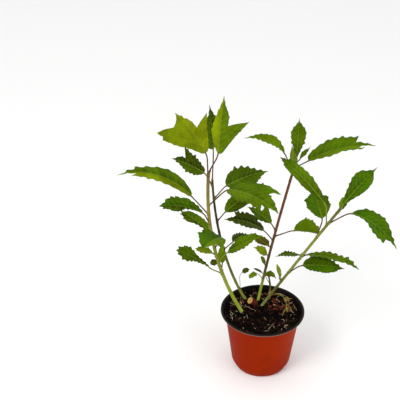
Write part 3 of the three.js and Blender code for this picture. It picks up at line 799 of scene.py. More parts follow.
class Value:
    """A socket of a node tree. Arithmetic on it adds the Math nodes that work it out."""

    def __init__(self, tree, socket):
        self.tree = tree
        self.socket = socket

    def calculate(self, operation, *values):
        return self.tree.node("ShaderNodeMath", {"operation": operation}, dict(enumerate(values)))

    def __add__(self, other):
        return self.calculate("ADD", self, other)

    def __radd__(self, other):
        return self.calculate("ADD", other, self)

    def __sub__(self, other):
        return self.calculate("SUBTRACT", self, other)

    def __rsub__(self, other):
        return self.calculate("SUBTRACT", other, self)

    def __mul__(self, other):
        return self.calculate("MULTIPLY", self, other)

    def __rmul__(self, other):
        return self.calculate("MULTIPLY", other, self)

    def between(self, low, high):
        """0 below low, 1 above high, and even between them."""
        inputs = {0: self, 1: low, 2: high}
        return self.tree.node("ShaderNodeMapRange", {"clamp": True}, inputs)


class Tree:
    """A node tree that is written from the empty sheet."""

    def __init__(self, tree):
        self.tree = tree
        self.tree.nodes.clear()

    def node(self, kind, settings=None, inputs=None, output=0):
        """A new node, with its settings made first and then its inputs fed. Gives back one output."""
        made = self.tree.nodes.new(kind)
        for name, value in (settings or {}).items():
            if name == "stops":
                self.set_stops(made.color_ramp, value)
            else:
                setattr(made, name, value)
        for name, value in (inputs or {}).items():
            self.feed(made.inputs[name], value)
        return Value(self, made.outputs[output]) if len(made.outputs) else made

    def vector_math(self, operation, *values, output=0, **inputs):
        inputs.update(enumerate(values))
        return self.node("ShaderNodeVectorMath", {"operation": operation}, inputs, output)

    def feed(self, socket, value):
        if isinstance(value, Value):
            self.tree.links.new(value.socket, socket)
        elif socket.type == "RGBA" and len(value) == 3:
            socket.default_value = (*value, 1)
        else:
            socket.default_value = value

    @staticmethod
    def set_stops(ramp, stops):
        while len(ramp.elements) < len(stops):
            ramp.elements.new(1)
        for element, (place, colour) in zip(ramp.elements, stops):
            element.position = place
            element.color = (*colour, 1)


class Finish(Tree):
    """A material of one Principled shader."""

    def __init__(self, name, colour):
        self.material = bpy.data.materials.new(name)
        self.material.use_nodes = True
        self.material.diffuse_color = (*colour, 1)
        super().__init__(self.material.node_tree)
        self.place = self.node("ShaderNodeTexCoord", output="Object")

    def attribute(self, name, output="Fac"):
        return self.node("ShaderNodeAttribute", {"attribute_name": name}, output=output)

    def noise(self, scale, detail=3, roughness=0.55, stretch=None, place=None):
        place = place or self.place
        if stretch:
            place = self.node("ShaderNodeMapping", inputs={"Vector": place, "Scale": stretch})
        inputs = {"Vector": place, "Scale": scale, "Detail": detail, "Roughness": roughness}
        return self.node("ShaderNodeTexNoise", inputs=inputs)

    def mix(self, low, high, share):
        return self.node("ShaderNodeMix", {"data_type": "RGBA"}, {0: share, 6: low, 7: high}, output=2)

    def ramp(self, share, *stops):
        return self.node("ShaderNodeValToRGB", {"stops": stops}, {0: share})

    def coordinate(self, axis):
        return self.node("ShaderNodeSeparateXYZ", inputs={0: self.place}, output=axis)

    def close(self, colour, roughness, bump=None, depth=0, strength=1, **constants):
        """Feeds the shader. The depth of the bumps is in millimetres."""
        inputs = {"Base Color": colour, "Roughness": roughness}
        inputs.update({name.replace("_", " "): value for name, value in constants.items()})
        if bump is not None:
            heights = {"Strength": strength, "Distance": depth * MM, "Height": bump}
            inputs["Normal"] = self.node("ShaderNodeBump", inputs=heights)
        shader = self.node("ShaderNodeBsdfPrincipled", inputs=inputs)
        self.node("ShaderNodeOutputMaterial", inputs={"Surface": shader})
        return self.material


# Finishes

def pot_outside_finish(look):
    """Terracotta plastic: painted lighter and warmer to the right as painted light, clouded, rubbed near the
    foot and finely ribbed.
    """
    f = Finish("pot_terracotta", look.outside)
    # Painted light: the wall grows lighter and warmer towards the right.
    lit_side = f.coordinate("X").between(-LIT_SIDE_SPAN * MM, LIT_SIDE_SPAN * MM)
    colour = f.mix(look.outside, shade(look.outside, LIT_SIDE_GAIN), lit_side)
    cloud = f.noise(22, 4)
    colour = f.mix(colour, shade(look.outside, 0.66), cloud.between(0.5, 0.72) * 0.6)
    scuff = f.noise(130, 5, 0.7, stretch=(1, 1, 2.4))
    low = 1 - f.coordinate("Z").between(10 * MM, 62 * MM)
    rubbed = scuff.between(0.56, 0.68) * (low * 0.8 + 0.15) * look.scuffing
    colour = f.mix(colour, paint(74, 30, 16), rubbed)
    fleck = f.noise(420, 3, 0.6).between(0.7, 0.76) * 0.25
    colour = f.mix(colour, paint(206, 130, 94), fleck * look.scuffing)
    ribs = f.node("ShaderNodeTexWave", {"wave_type": "BANDS", "bands_direction": "Z"},
                  {"Vector": f.place, "Scale": 240, "Distortion": 1.5, "Detail": 2}, output="Fac")
    bump = ribs * 0.35 + f.noise(900, 2) * 0.4 + scuff * 0.4
    return f.close(colour, 0.4 + rubbed * 0.3 + cloud * 0.1, bump, 0.12, 0.5, Specular_IOR_Level=0.02)


def pot_inside_finish(look):
    """Dark plastic: the inner wall far darker than the rim as painted shade, with soiled patches, and a
    painted highlight as a pale line along the rim's lower outer edge.
    """
    f = Finish("pot_dark_inside", look.inside)
    reach = f.vector_math("LENGTH", f.vector_math("MULTIPLY", f.place, (1, 1, 0)), output="Value")
    soiled = f.noise(300, 4, 0.7).between(0.58, 0.7)
    # Painted shade: the inner wall keeps only a small share of the plastic's colour.
    wall = f.mix(shade(look.inside, 0.12), paint(66, 44, 32), soiled * 0.35)
    rim = f.mix(look.inside, paint(34, 26, 22), f.noise(60, 4).between(0.45, 0.8) * 0.6)
    lip = RIM_RADIUS - RIM_WIDTH
    colour = f.mix(wall, rim, reach.between((lip - 0.4) * MM, (lip + 0.5) * MM))
    # Painted highlight: a pale line along the lower outer edge of the rim.
    skirt = POT_HEIGHT - RIM_SKIRT
    under = 1 - f.coordinate("Z").between((skirt + 0.5) * MM, (skirt + 1.1) * MM)
    outer = reach.between((RIM_RADIUS - 0.7) * MM, (RIM_RADIUS - 0.4) * MM)
    colour = f.mix(colour, paint(150, 128, 116), under * outer * 0.8)
    return f.close(colour, 0.4 + soiled * 0.3, f.noise(800, 2), 0.1, 0.4, Specular_IOR_Level=0.06)


def soil_finish(look):
    f = Finish("potting_soil_dark", look.colour)
    grain = f.noise(520, 5, 0.7)
    clod = f.noise(110, 3)
    colour = f.mix(shade(look.colour, 0.35), look.colour, clod.between(0.35, 0.6))
    colour = f.mix(colour, paint(62, 40, 26), grain.between(0.62, 0.78) * 0.4)
    return f.close(colour, 0.85 - grain * 0.15, grain + clod * 0.6, 0.6, 0.8, Specular_IOR_Level=0.03)


def crumb_finish(look):
    """Mostly as dark as the soil, with some brown and a few pale crumbs."""
    f = Finish("potting_soil_crumbs", look.colour)
    colour = f.ramp(
        f.noise(190, 2), (0.3, shade(look.colour, 0.4)), (0.52, look.colour),
        (0.6, paint(56, 30, 18)), (0.68, paint(30, 20, 15)), (0.76, paint(84, 54, 32)))
    return f.close(colour, 0.75, f.noise(900, 3), 0.3, 0.8, Specular_IOR_Level=0.05)


def chip_finish(name, light, dark):
    f = Finish(name, light)
    grain = f.noise(260, 4, 0.65, stretch=(1, 3, 1))
    colour = f.mix(dark, light, grain.between(0.35, 0.62))
    return f.close(colour, 0.55 + grain * 0.2, grain, 0.4, 0.8, Specular_IOR_Level=0.1)


def fibre_finish():
    f = Finish("pale_fibre", paint(186, 164, 122))
    colour = f.mix(paint(150, 122, 84), paint(214, 200, 164), f.noise(160, 2).between(0.35, 0.65))
    return f.close(colour, 0.7, Specular_IOR_Level=0.1)


def stump_bark_finish():
    f = Finish("stump_bark", paint(84, 34, 18))
    grain = f.noise(240, 5, 0.65, stretch=(1, 3, 3))
    colour = f.mix(paint(44, 16, 10), paint(106, 46, 24), grain.between(0.35, 0.65))
    return f.close(colour, 0.75, grain, 0.5, 0.9, Specular_IOR_Level=0.1)


def stump_face_finish():
    """Cut wood with year rings, darker at its pith and along its rim."""
    f = Finish("stump_cut_face", paint(214, 184, 120))
    rim = f.attribute("rim")
    wavy = rim * YEAR_RINGS + f.noise(260, 2) * 1.2
    ring = wavy.calculate("FRACT", wavy).between(0.1, 0.9)
    colour = f.mix(paint(200, 158, 84), paint(152, 104, 48), ring * 0.5)
    colour = f.mix(colour, paint(120, 84, 50), rim.between(0.86, 1.0) * 0.8)
    colour = f.mix(colour, paint(128, 92, 44), (1 - rim.between(0.08, 0.5)) * 0.6)
    return f.close(colour, 0.75, ring + f.noise(900, 2), 0.2, 0.6)


def twig_finish():
    f = Finish("dry_stalk", paint(150, 142, 62))
    colour = f.ramp(f.noise(90, 3), (0.3, paint(84, 68, 26)), (0.5, paint(142, 128, 48)),
                    (0.7, paint(186, 162, 88)))
    grain = f.noise(400, 3, stretch=ALONG_STEM)
    return f.close(colour, 0.6, grain, 0.2, 0.7, Specular_IOR_Level=0.15)


def stem_finish(name, look):
    """Bark in the stem's colours from foot to tip, partly painted light and shade, streaked dark and pale
    tan, the pale tan partly a painted highlight, patched and dark at its scars.
    """
    stops = tuple((place, paint(*colour)) for place, colour in STEM_STOPS[name])
    f = Finish("bark_" + name, stops[1][1])
    tip = STEMS[name]["tip"][2] * MM
    streak = f.noise(150, 4, 0.6, stretch=STREAK_ALONG_STEM)
    patch = f.noise(46, 3)
    share = f.coordinate("Z").between(STEM_FOOT * MM, tip) + (patch - 0.5) * 0.16
    colour = f.ramp(share, *stops)
    colour = f.mix(colour, paint(74, 44, 20), streak.between(0.55, 0.74) * 0.45)
    # Pale tan streaks: partly the bark's own colour, partly a painted highlight.
    colour = f.mix(colour, paint(176, 160, 84), (1 - streak.between(0.28, 0.42)) * 0.3)
    colour = f.mix(colour, paint(60, 36, 20), f.attribute("scar").between(0.25, 0.8) * 0.75)
    bump = f.noise(700, 3, 0.6, stretch=ALONG_STEM) + streak
    return f.close(colour, 0.42 + streak * 0.22, bump, look.relief / MM, 0.9, Specular_IOR_Level=0.2)


def pore_finish():
    f = Finish("bark_pores", paint(196, 178, 128))
    colour = f.mix(paint(124, 98, 58), paint(186, 170, 122), f.noise(200, 2))
    return f.close(colour, 0.7, Specular_IOR_Level=0.1)


def stalk_finish(look):
    """Red and streaked, turning green where the attribute says so."""
    f = Finish("leaf_stalk", look.stalk)
    streak = f.noise(260, 3, stretch=(1, 1, 0.4))
    colour = f.mix(look.stalk, paint(112, 70, 30), streak.between(0.45, 0.7) * 0.6)
    colour = f.mix(colour, paint(116, 134, 34), f.attribute("green"))
    return f.close(colour, 0.45, streak, 0.1, 0.6, Specular_IOR_Level=0.12)


def leaf_finish(name, look):
    """One leaf colour, which is partly painted light and shade: mottled lighter and darker, partly as
    painted highlight patches, with pale veins above, and paler and duller underneath.
    """
    tint = paint(*TINTS_WITH_PAINTED_LIGHT[name])
    f = Finish("leaf_" + name, tint)
    flat = f.attribute("flat", "Vector")
    vein = f.attribute("vein")
    under = f.attribute("under")
    web = f.node("ShaderNodeTexVoronoi", {"feature": "DISTANCE_TO_EDGE"},
                 {"Vector": flat, "Scale": 640, "Randomness": 0.9}, output="Distance")
    thread = 1 - web.between(0.0, 0.09)
    cloud = f.noise(34, 3, place=flat)
    fleck = f.noise(240, 3, 0.6, place=flat)
    # Mottling: partly the leaf's own uneven green, partly painted highlight patches.
    colour = f.mix(shade(tint, 0.66), shade(tint, 1.34), cloud.between(0.35, 0.65))
    colour = f.mix(colour, shade(tint, 0.7), fleck.between(0.55, 0.75) * 0.4)
    for line, weight in ((thread, 0.03), (vein, 0.23), (f.attribute("edge").between(0.8, 1.0), 0.03)):
        colour = f.mix(colour, look.vein, line * weight)
    pale = [lerp(c, p, 0.4) for c, p in zip(tint, paint(112, 134, 52))]
    colour = f.mix(colour, f.mix(pale, look.vein, vein * 0.5), under)
    bump = thread * -0.5 + fleck * 0.35
    roughness = 0.38 + under * 0.24 + fleck * 0.12
    return f.close(colour, roughness, bump, 0.16, 0.55, Specular_IOR_Level=0.025)


def bud_finish():
    f = Finish("bud_green", paint(112, 136, 44))
    colour = f.mix(paint(66, 86, 22), paint(124, 142, 50), f.noise(300, 2).between(0.35, 0.65))
    return f.close(colour, 0.5, Specular_IOR_Level=0.1)


def floor_finish(look):
    f = Finish("stage_floor", look.floor)
    return f.close(f.mix(shade(look.floor, 0.985), look.floor, f.noise(3, 2)), 0.75)


# Pot

def rounded(profile, radius, steps):
    """A closed profile with each corner turned into a small arc."""
    corners = [np.array(point, float) for point in profile]
    made = []
    for i, corner in enumerate(corners):
        before, after = corners[i - 1], corners[(i + 1) % len(corners)]
        back, on = unit(before - corner), unit(after - corner)
        reach = min(radius, np.linalg.norm(before - corner) / 3, np.linalg.norm(after - corner) / 3)
        shares = np.linspace(0, 1, steps + 1)
        made.extend(bezier((corner + back * reach, corner, corner + on * reach), shares))
    return np.array(made)


def make_pot(look):
    """The wall as a turned profile, and a floor with drain holes that joins its two ends."""
    terracotta = (
        (FOOT_RADIUS, 0),
        (BODY_FOOT_RADIUS, FOOT_HEIGHT),
        (BODY_TOP_RADIUS, COLLAR_FOOT),
        (RIM_RADIUS - WALL, POT_HEIGHT - RIM_SKIRT),
    )
    dark = (
        (RIM_RADIUS, POT_HEIGHT - RIM_SKIRT),
        (RIM_RADIUS, POT_HEIGHT),
        (RIM_RADIUS - RIM_WIDTH, POT_HEIGHT),
        (BODY_TOP_RADIUS - WALL, COLLAR_FOOT),
        (BODY_FOOT_RADIUS - WALL, FOOT_HEIGHT + WALL / 2),
        (FOOT_RADIUS - WALL, WALL),
    )
    profile = rounded(terracotta + dark, EDGE_ROUNDING, EDGE_STEPS)
    profile = [(FLOOR_RADIUS, 0), *profile, (FLOOR_RADIUS, WALL)]
    points = [point for radius, height in profile for point in at_height(circle(radius, POT_SIDES), height)]
    faces = walls(len(profile), POT_SIDES)
    dark_from = len(terracotta) * (EDGE_STEPS + 1) * POT_SIDES
    shape = Shape()
    shape.add(points, faces, [int(i >= dark_from) for i in range(len(faces))])
    centres = circle(HOLE_CIRCLE, HOLE_COUNT, turn=0.5)
    holes = [circle(HOLE_RADIUS, HOLE_SIDES, centre) for centre in centres]
    flat, faces = fill([circle(FLOOR_RADIUS, POT_SIDES), *holes])
    shape.add(at_height(flat, WALL), faces, 1)
    shape.add(at_height(flat, 0), [tuple(reversed(face)) for face in faces], 0)
    for hole in holes:
        shape.add(at_height(hole, 0) + at_height(hole, WALL), walls(2, HOLE_SIDES), 0)
    pot = shape.make("nursery_pot", [pot_outside_finish(look), pot_inside_finish(look)], sharp_angle=75)
    weld(pot)
    settle(pot, "pot_plastic", "pot")


# Soil

def soil_radius(height):
    """The inner radius of the wall at a height, less the soil's gap to it."""
    inner = np.interp(height, (FOOT_HEIGHT, COLLAR_FOOT, POT_HEIGHT),
                      (BODY_FOOT_RADIUS - WALL, BODY_TOP_RADIUS - WALL, RIM_RADIUS - RIM_WIDTH))
    return float(inner) - 2 * GAP


def soil_height(x, y, look):
    """The soil's surface: lumps of two sizes, a dip towards the front, and a higher edge."""
    lump = sum(rough((x, y, each["level"]), each["pitch"]) * each["share"] for each in SOIL_LUMPS)
    outwards = math.hypot(x, y) - soil_radius(SOIL_LEVEL + SOIL_EDGE_RISE) + SOIL_EDGE_WIDTH
    edge = SOIL_EDGE_RISE * min(1.0, max(0.0, outwards / SOIL_EDGE_WIDTH))
    away = (x - SOIL_DIP["centre"][0]) ** 2 + (y - SOIL_DIP["centre"][1]) ** 2
    dip = SOIL_DIP["depth"] * math.exp(-away / SOIL_DIP["spread"])
    return SOIL_LEVEL + lump * look.lump_height / MM + edge - dip


def on_soil(points, look):
    return [(x, y, soil_height(x, y, look)) for x, y in points]


def make_soil(look):
    """The lumpy surface, and below it a stack of rings that keeps its gap to the pot's wall."""
    radius = soil_radius(SOIL_LEVEL + SOIL_EDGE_RISE)
    rim = circle(radius, POT_SIDES)
    grid = hexagonal(SOIL_SPACING, (-radius, -radius), (radius, radius))
    grid = grid[np.hypot(*grid.T) < radius - SOIL_SPACING * GRID_TO_EDGE]
    flat, faces = fill([rim], grid)
    shape = Shape()
    shape.add(on_soil(flat, look), faces)
    above_foot = FOOT_HEIGHT + WALL
    levels = ((FOOT_RADIUS - WALL - 2 * GAP, WALL + GAP), (soil_radius(above_foot), above_foot),
              (soil_radius(COLLAR_FOOT), COLLAR_FOOT))
    points = [point for reach, height in levels for point in at_height(circle(reach, POT_SIDES), height)]
    points.extend(on_soil(rim, look))
    shape.add(points, [foot_face(POT_SIDES), *walls(len(levels) + 1, POT_SIDES)])
    soil = shape.make("potting_soil_bed", [soil_finish(look)], sharp_angle=80)
    weld(soil)
    settle(soil, "soil", "potting_soil")
    return soil


def chip_places():
    """Each chip's place, length and seed: more small ones than large, thinning out from each centre."""
    seed = 1
    for patch in CHIP_PATCHES:
        for _ in range(patch["count"]):
            seed += 1
            away = patch["spread"] * chance(seed) ** 0.7
            turn = 2 * math.pi * chance(seed + 0.3)
            x = patch["centre"][0] + away * math.cos(turn)
            y = patch["centre"][1] + away * math.sin(turn)
            if math.hypot(x, y) < CHIP_REACH:
                yield x, y, patch["size"] * lerp(CHIP_LEAST, 1, chance(seed + 0.6) ** 2), seed


def make_chips(look):
    """Flat splinters of bark, each an uneven slab that lies on the soil at its own slope."""
    shape = Shape()
    for x, y, size, seed in chip_places():
        slender = draw(seed + 100, *CHIP_SLENDER)
        ring = []
        for k in range(CHIP_CORNERS):
            angle = 2 * math.pi * (k + CHIP_SKEW * chance(seed * 17 + k)) / CHIP_CORNERS
            reach = size / 2 * draw(seed * 13 + k, *CHIP_BREADTH)
            ring.append((reach * math.cos(angle), reach * slender * math.sin(angle)))
        spin = 2 * math.pi * chance(seed + 200)
        slope = [draw(seed + each, -CHIP_SLOPE, CHIP_SLOPE) for each in (300, 400)]
        thick = CHIP_THICK + CHIP_THICKER * size * chance(seed + 500)
        ground = soil_height(x, y, look) + thick * 0.5
        points = []
        for level, breadth in CHIP_SECTION:
            for k, (u, v) in enumerate(ring):
                px = (u * math.cos(spin) - v * math.sin(spin)) * breadth
                py = (u * math.sin(spin) + v * math.cos(spin)) * breadth
                lift = level * thick + px * slope[0] + py * slope[1] + CHIP_UNEVEN * chance(seed * 31 + k)
                points.append((x + px, y + py, ground + lift))
        finish = sum(chance(seed + 600) > share for share in CHIP_MIX)
        shape.add(points, closed_stack(len(CHIP_SECTION), CHIP_CORNERS), finish)
    finishes = [
        chip_finish("bark_chip_dark", paint(74, 42, 26), paint(30, 18, 12)),
        chip_finish("bark_chip_red", paint(118, 42, 22), paint(56, 18, 10)),
        chip_finish("bark_chip_tan", paint(190, 146, 98), paint(118, 80, 48)),
    ]
    chips = shape.make("bark_chips", finishes, sharp_angle=35)
    settle(chips, "soil")


def fibre_ends():
    """The ends of the fibres of the table, and of a spray of short ones that keeps off the middle."""
    yield from FIBRES
    for i in range(FIBRE_SPRAY):
        away = CHIP_REACH * lerp(FIBRE_INNER, 1, chance(i + 40) ** 0.6)
        turn, spin = (2 * math.pi * chance(i + start) for start in (1200, 1300))
        x, y = away * math.cos(turn), away * math.sin(turn)
        reach = FIBRE_LENGTH * draw(i + 1400, FIBRE_LEAST, 1)
        end = (x + reach * math.cos(spin), y + reach * math.sin(spin))
        if math.hypot(*end) < CHIP_REACH + 1:
            yield (x, y), end


def make_fibres(look):
    """The pale fibres of the potting mix: thin, bowed, and lying on its lumps."""
    shape = Shape()
    shares = np.linspace(0, 1, FIBRE_RINGS)
    radii = FIBRE_RADIUS * (1 - 0.5 * np.abs(2 * shares - 1) ** 3)
    for i, (start, end) in enumerate(fibre_ends()):
        start, end = np.array(start, float), np.array(end, float)
        aside = np.array((start[1] - end[1], end[0] - start[0])) * draw(i + 900, -FIBRE_BOW, FIBRE_BOW)
        flat = bezier((start, (start + end) / 2 + aside, end), shares)
        path = [(x, y, height + FIBRE_LIFT + FIBRE_ARCH * math.sin(math.pi * share))
                for share, (x, y, height) in zip(shares, on_soil(flat, look))]
        shape.tube(path, radii, FIBRE_SIDES)
    fibres = shape.make("soil_fibres", [fibre_finish()])
    settle(fibres, "soil")


# Scatters of small things

def scatter_tree(name, material):
    """Small lumps on a surface: how many, how large, how flat, and with what seed."""
    group = bpy.data.node_groups.new(name, "GeometryNodeTree")
    group.interface.new_socket("Geometry", in_out="INPUT", socket_type="NodeSocketGeometry")
    for label in ("Density", "Size", "Smallest", "Flatness", "Stretch"):
        group.interface.new_socket(label, in_out="INPUT", socket_type="NodeSocketFloat")
    group.interface.new_socket("Seed", in_out="INPUT", socket_type="NodeSocketInt")
    group.interface.new_socket("Geometry", in_out="OUTPUT", socket_type="NodeSocketGeometry")
    t = Tree(group)
    entry = group.nodes.new("NodeGroupInput")
    given = {socket.name: Value(t, socket) for socket in entry.outputs if socket.name}
    spread = t.node("GeometryNodeDistributePointsOnFaces", {"distribute_method": "RANDOM"}, {
        "Mesh": given["Geometry"], "Density": given["Density"], "Seed": given["Seed"]})
    turn = Value(t, spread.socket.node.outputs["Rotation"])
    lump = t.node("GeometryNodeMeshIcoSphere", inputs={"Radius": 1.0, "Subdivisions": 2})
    wobble = t.node("ShaderNodeTexNoise", inputs={"Scale": 1.7, "Detail": 1.0}, output="Color")
    centred = t.vector_math("SUBTRACT", wobble, (0.5, 0.5, 0.5))
    offset = t.vector_math("SCALE", centred, Scale=LUMP_WOBBLE)
    lump = t.node("GeometryNodeSetPosition", inputs={"Geometry": lump, "Offset": offset})
    spin = t.node("FunctionNodeRandomValue", {"data_type": "FLOAT"},
                  {2: 0.0, 3: 2 * math.pi, "Seed": given["Seed"]}, output=1)
    spun = t.node("ShaderNodeCombineXYZ", inputs={"Z": spin})
    turned = t.node("FunctionNodeRotateRotation", {"rotation_space": "LOCAL"},
                    {"Rotation": turn, "Rotate By": spun})
    chosen = t.node("FunctionNodeRandomValue", {"data_type": "FLOAT"},
                    {2: given["Smallest"], 3: 1.0, "Seed": given["Seed"] + 1}, output=1)
    size = chosen * chosen * given["Size"]
    scale = t.node("ShaderNodeCombineXYZ", inputs={
        "X": size, "Y": size * given["Stretch"], "Z": size * given["Flatness"]})
    copies = t.node("GeometryNodeInstanceOnPoints", inputs={
        "Points": spread, "Instance": lump, "Rotation": turned, "Scale": scale})
    solid = t.node("GeometryNodeRealizeInstances", inputs={"Geometry": copies})
    painted = t.node("GeometryNodeSetMaterial", inputs={"Geometry": solid, "Material": material})
    smooth = t.node("GeometryNodeSetShadeSmooth", inputs={"Geometry": painted})
    t.node("NodeGroupOutput", inputs={"Geometry": smooth})
    return group


def scatter(name, ground, tree, slot, **settings):
    """Runs a scatter over a copy of the ground and keeps what it made as a plain piece."""
    carrier = put(name + "_carrier", ground)
    modifier = carrier.modifiers.new("scatter", "NODES")
    modifier.node_group = tree
    for item in tree.interface.items_tree:
        if item.in_out == "INPUT" and item.name in settings:
            modifier[item.identifier] = settings[item.name]
    seen = carrier.evaluated_get(bpy.context.evaluated_depsgraph_get())
    mesh = bpy.data.meshes.new_from_object(seen)
    mesh.name = name
    carrier.modifiers.remove(modifier)
    bpy.data.objects.remove(carrier)
    settle(put(name, mesh), slot)


def top_of(piece, least):
    """A copy of the faces of a piece that lie above a height and look up."""
    mesh = piece.data
    kept = [tuple(face.vertices) for face in mesh.polygons
            if face.center.z > least and face.normal.z > LOOKS_UP]
    ground = bpy.data.meshes.new("ground")
    ground.from_pydata([tuple(vertex.co) for vertex in mesh.vertices], [], kept)
    return ground


def make_crumbs(soil, look):
    tree = scatter_tree("scatter_crumbs", crumb_finish(look))
    ground = top_of(soil, LOWEST_CRUMB * MM)
    scatter("soil_crumbs", ground, tree, "soil", Density=look.crumb_density, Size=look.crumb_size,
            Smallest=0.42, Flatness=0.75, Stretch=1.25, Seed=look.seed)


# Stump and dry twig

def make_stump():
    """An uneven round of wood in its bark, with the cut face as a second, shallow solid."""
    shape = Shape("rim")
    foot, face = np.array(STUMP["foot"], float), np.array(STUMP["face"], float)
    ahead = unit(face - foot)
    path = [lerp(foot, face, share) for share in np.linspace(0, 1, STUMP_RINGS)]
    radii = np.linspace(*STUMP["radius"], STUMP_RINGS) - STUMP_INSET
    shape.tube(path, radii, STUMP_SIDES,
               lambda i, out, centre: 0.35 * rough(out * 3 + UP * i * 0.3, 1.6), rim=1.0)
    directions = spokes(ahead, unit(np.cross(ahead, UP)), STUMP_SIDES)
    points = [face - ahead * FACE_BACK + out * FACE_RINGS[0] * STUMP["radius"][1] for out in directions]
    rims = [1.0] * STUMP_SIDES
    for share in FACE_RINGS:
        for out in directions:
            bump = 0.1 * rough(out * share * 4, 1.2)
            points.append(face + ahead * (FACE_LIFT + bump) + out * share * STUMP["radius"][1])
            rims.append(share)
    faces = [foot_face(STUMP_SIDES), *walls(len(FACE_RINGS) + 1, STUMP_SIDES)]
    shape.add(points, faces, 1, rim=rims)
    stump = shape.make("cut_stump_wood", [stump_bark_finish(), stump_face_finish()], sharp_angle=50)
    weld(stump)
    settle(stump, "old_wood", "cut_stump")


def make_twig():
    """The arched stalk, its side shoot and thin strands, all knotted at even steps."""
    shape = Shape()
    arms = [(TWIG_MAIN, TWIG_RADIUS), (TWIG_BRANCH, TWIG_RADIUS)]
    arms.extend((places, STRAND_RADIUS) for places in TWIG_STRANDS)
    shares = np.linspace(0, 1, TWIG_STEPS + 1)
    knots = 1 + KNOT_SWELLING * bell(shares % KNOT_PITCH - KNOT_PITCH / 2, KNOT_WIDTH)
    for places, radius in arms:
        path = spline([(x, y, TWIG_LOW + height) for x, y, height in places], TWIG_STEPS)
        radii = np.linspace(*radius, TWIG_STEPS + 1) * knots
        shape.tube(path, radii, TWIG_SIDES, lambda i, out, centre: 0.08 * rough(centre + out * 2, 1.5))
    twig = shape.make("dry_twig_bark", [twig_finish()])
    settle(twig, "dry_stalk", "dry_twig")


# Stems

def stem_points(name, shares):
    stem = STEMS[name]
    return bezier(((*stem["foot"], STEM_FOOT), stem["bend"], stem["tip"]), shares)


def stem_radius(name, share, height):
    flare = 1 + FLARE_WIDTH * max(0.0, 1 - (height - STEM_FOOT) / FLARE_HEIGHT) ** 2
    return lerp(*STEMS[name]["thick"], share) / 2 * flare


def stem_slot(name):
    return "brown_stem" if name == "middle" else "green_stem"


def stem_nodes(name, length, leaves):
    """Where a stem swells: at each leaf's stalk, and at the scars of earlier leaves between them."""
    marks = [(leaf["at"] * length, leaf["out"], 1.0) for leaf in leaves if leaf["stem"] == name]
    place = FIRST_SCAR
    number = 0
    while place < length - SCAR_END:
        if all(abs(place - other) > SCAR_CLEARANCE for other, _, _ in marks):
            marks.append((place, direction(number * SCAR_TURN, SCAR_RISE), SCAR_SIZE))
        number += 1
        place += SCAR_PITCH * draw(number + 50 * len(name), *SCAR_SPREAD)
    return marks


def make_stem(name, leaves, look):
    """A tapering stem with a flared foot, a rounded tip, and a swelling at each node with a dark scar mark
    just above it.
    """
    length = line_length(stem_points(name, np.linspace(0, 1, LENGTH_STEPS)))
    marks = stem_nodes(name, length, leaves)
    rings = int(length / STEM_RING_PITCH)
    shares = np.linspace(-STEM_BURIED / length, 1, rings)
    path = stem_points(name, shares)
    radii = np.array([stem_radius(name, share, place[2]) for share, place in zip(shares, path)])
    blunt = np.clip((1 - shares) * length / STEM_TIP, 0, 1)
    radii = radii * np.sqrt(1 - (1 - blunt) ** 2 * TIP_ROUNDING)
    scars = np.zeros(rings)

    def swell(i, out, centre):
        extra = 0.1 * rough(centre + out * 4, 5) + 0.05 * rough(out * 5 + UP * i * 0.02, 1.1)
        for place, side, size in marks:
            away = shares[i] * length - place
            if abs(away) < 3 * NODE_LENGTH:
                facing = lerp(NODE_BACK, 1, max(0.0, float(out.dot(side))) ** 2)
                extra += NODE_SWELLING * size * bell(away, NODE_LENGTH) * facing
                scars[i] = max(scars[i], size * bell(away - LEDGE_PLACE, LEDGE_WIDTH))
        return extra

    shape = Shape("scar")
    shape.tube(path, radii, STEM_SIDES, swell)
    shape.marks["scar"] = list(np.repeat(scars, STEM_SIDES))
    stem = shape.make("stem_bark_" + name, [stem_finish(name, look)])
    if name == "sprout":
        settle(stem, stem_slot(name))
    else:
        settle(stem, stem_slot(name), "stem_" + name)
    return stem


def make_pores(stems, look):
    """The raised pores of the bark, thinly scattered over the stems."""
    tree = scatter_tree("scatter_pores", pore_finish())
    for number, (name, stem) in enumerate(stems.items()):
        scatter("bark_pores_" + name, stem.data, tree, stem_slot(name), Density=look.pore_density,
                Size=look.pore_size, Smallest=0.5, Flatness=0.35, Stretch=1.7, Seed=look.seed + number)


# Leaves

def grown_leaves():
    """The leaves of the table, each with its place, its own axes and its seed worked out."""
    leaves = []
    for i, (stem, at, stalk, blade, bend, forms, wide, fold, jag, half_tints_with_painted_light) in enumerate(LEAF_ROWS):
        start = stem_points(stem, [at])[0]
        out = direction(stalk[0], stalk[1])
        ahead = direction(blade[0], blade[1])
        left = direction(blade[0] + 90, 0)
        leaves.append({
            "stem": stem, "at": at, "start": start, "out": out, "reach": stalk[2],
            "base": start + out * stalk[2], "ahead": ahead, "left": left, "over": np.cross(ahead, left),
            "length": blade[2], "droop": bend[0], "roll": bend[1], "forms": forms.split(),
            "wide": wide, "fold": fold, "jag": jag, "half_tints_with_painted_light": half_tints_with_painted_light.split(), "seed": i + 1,
        })
    return leaves


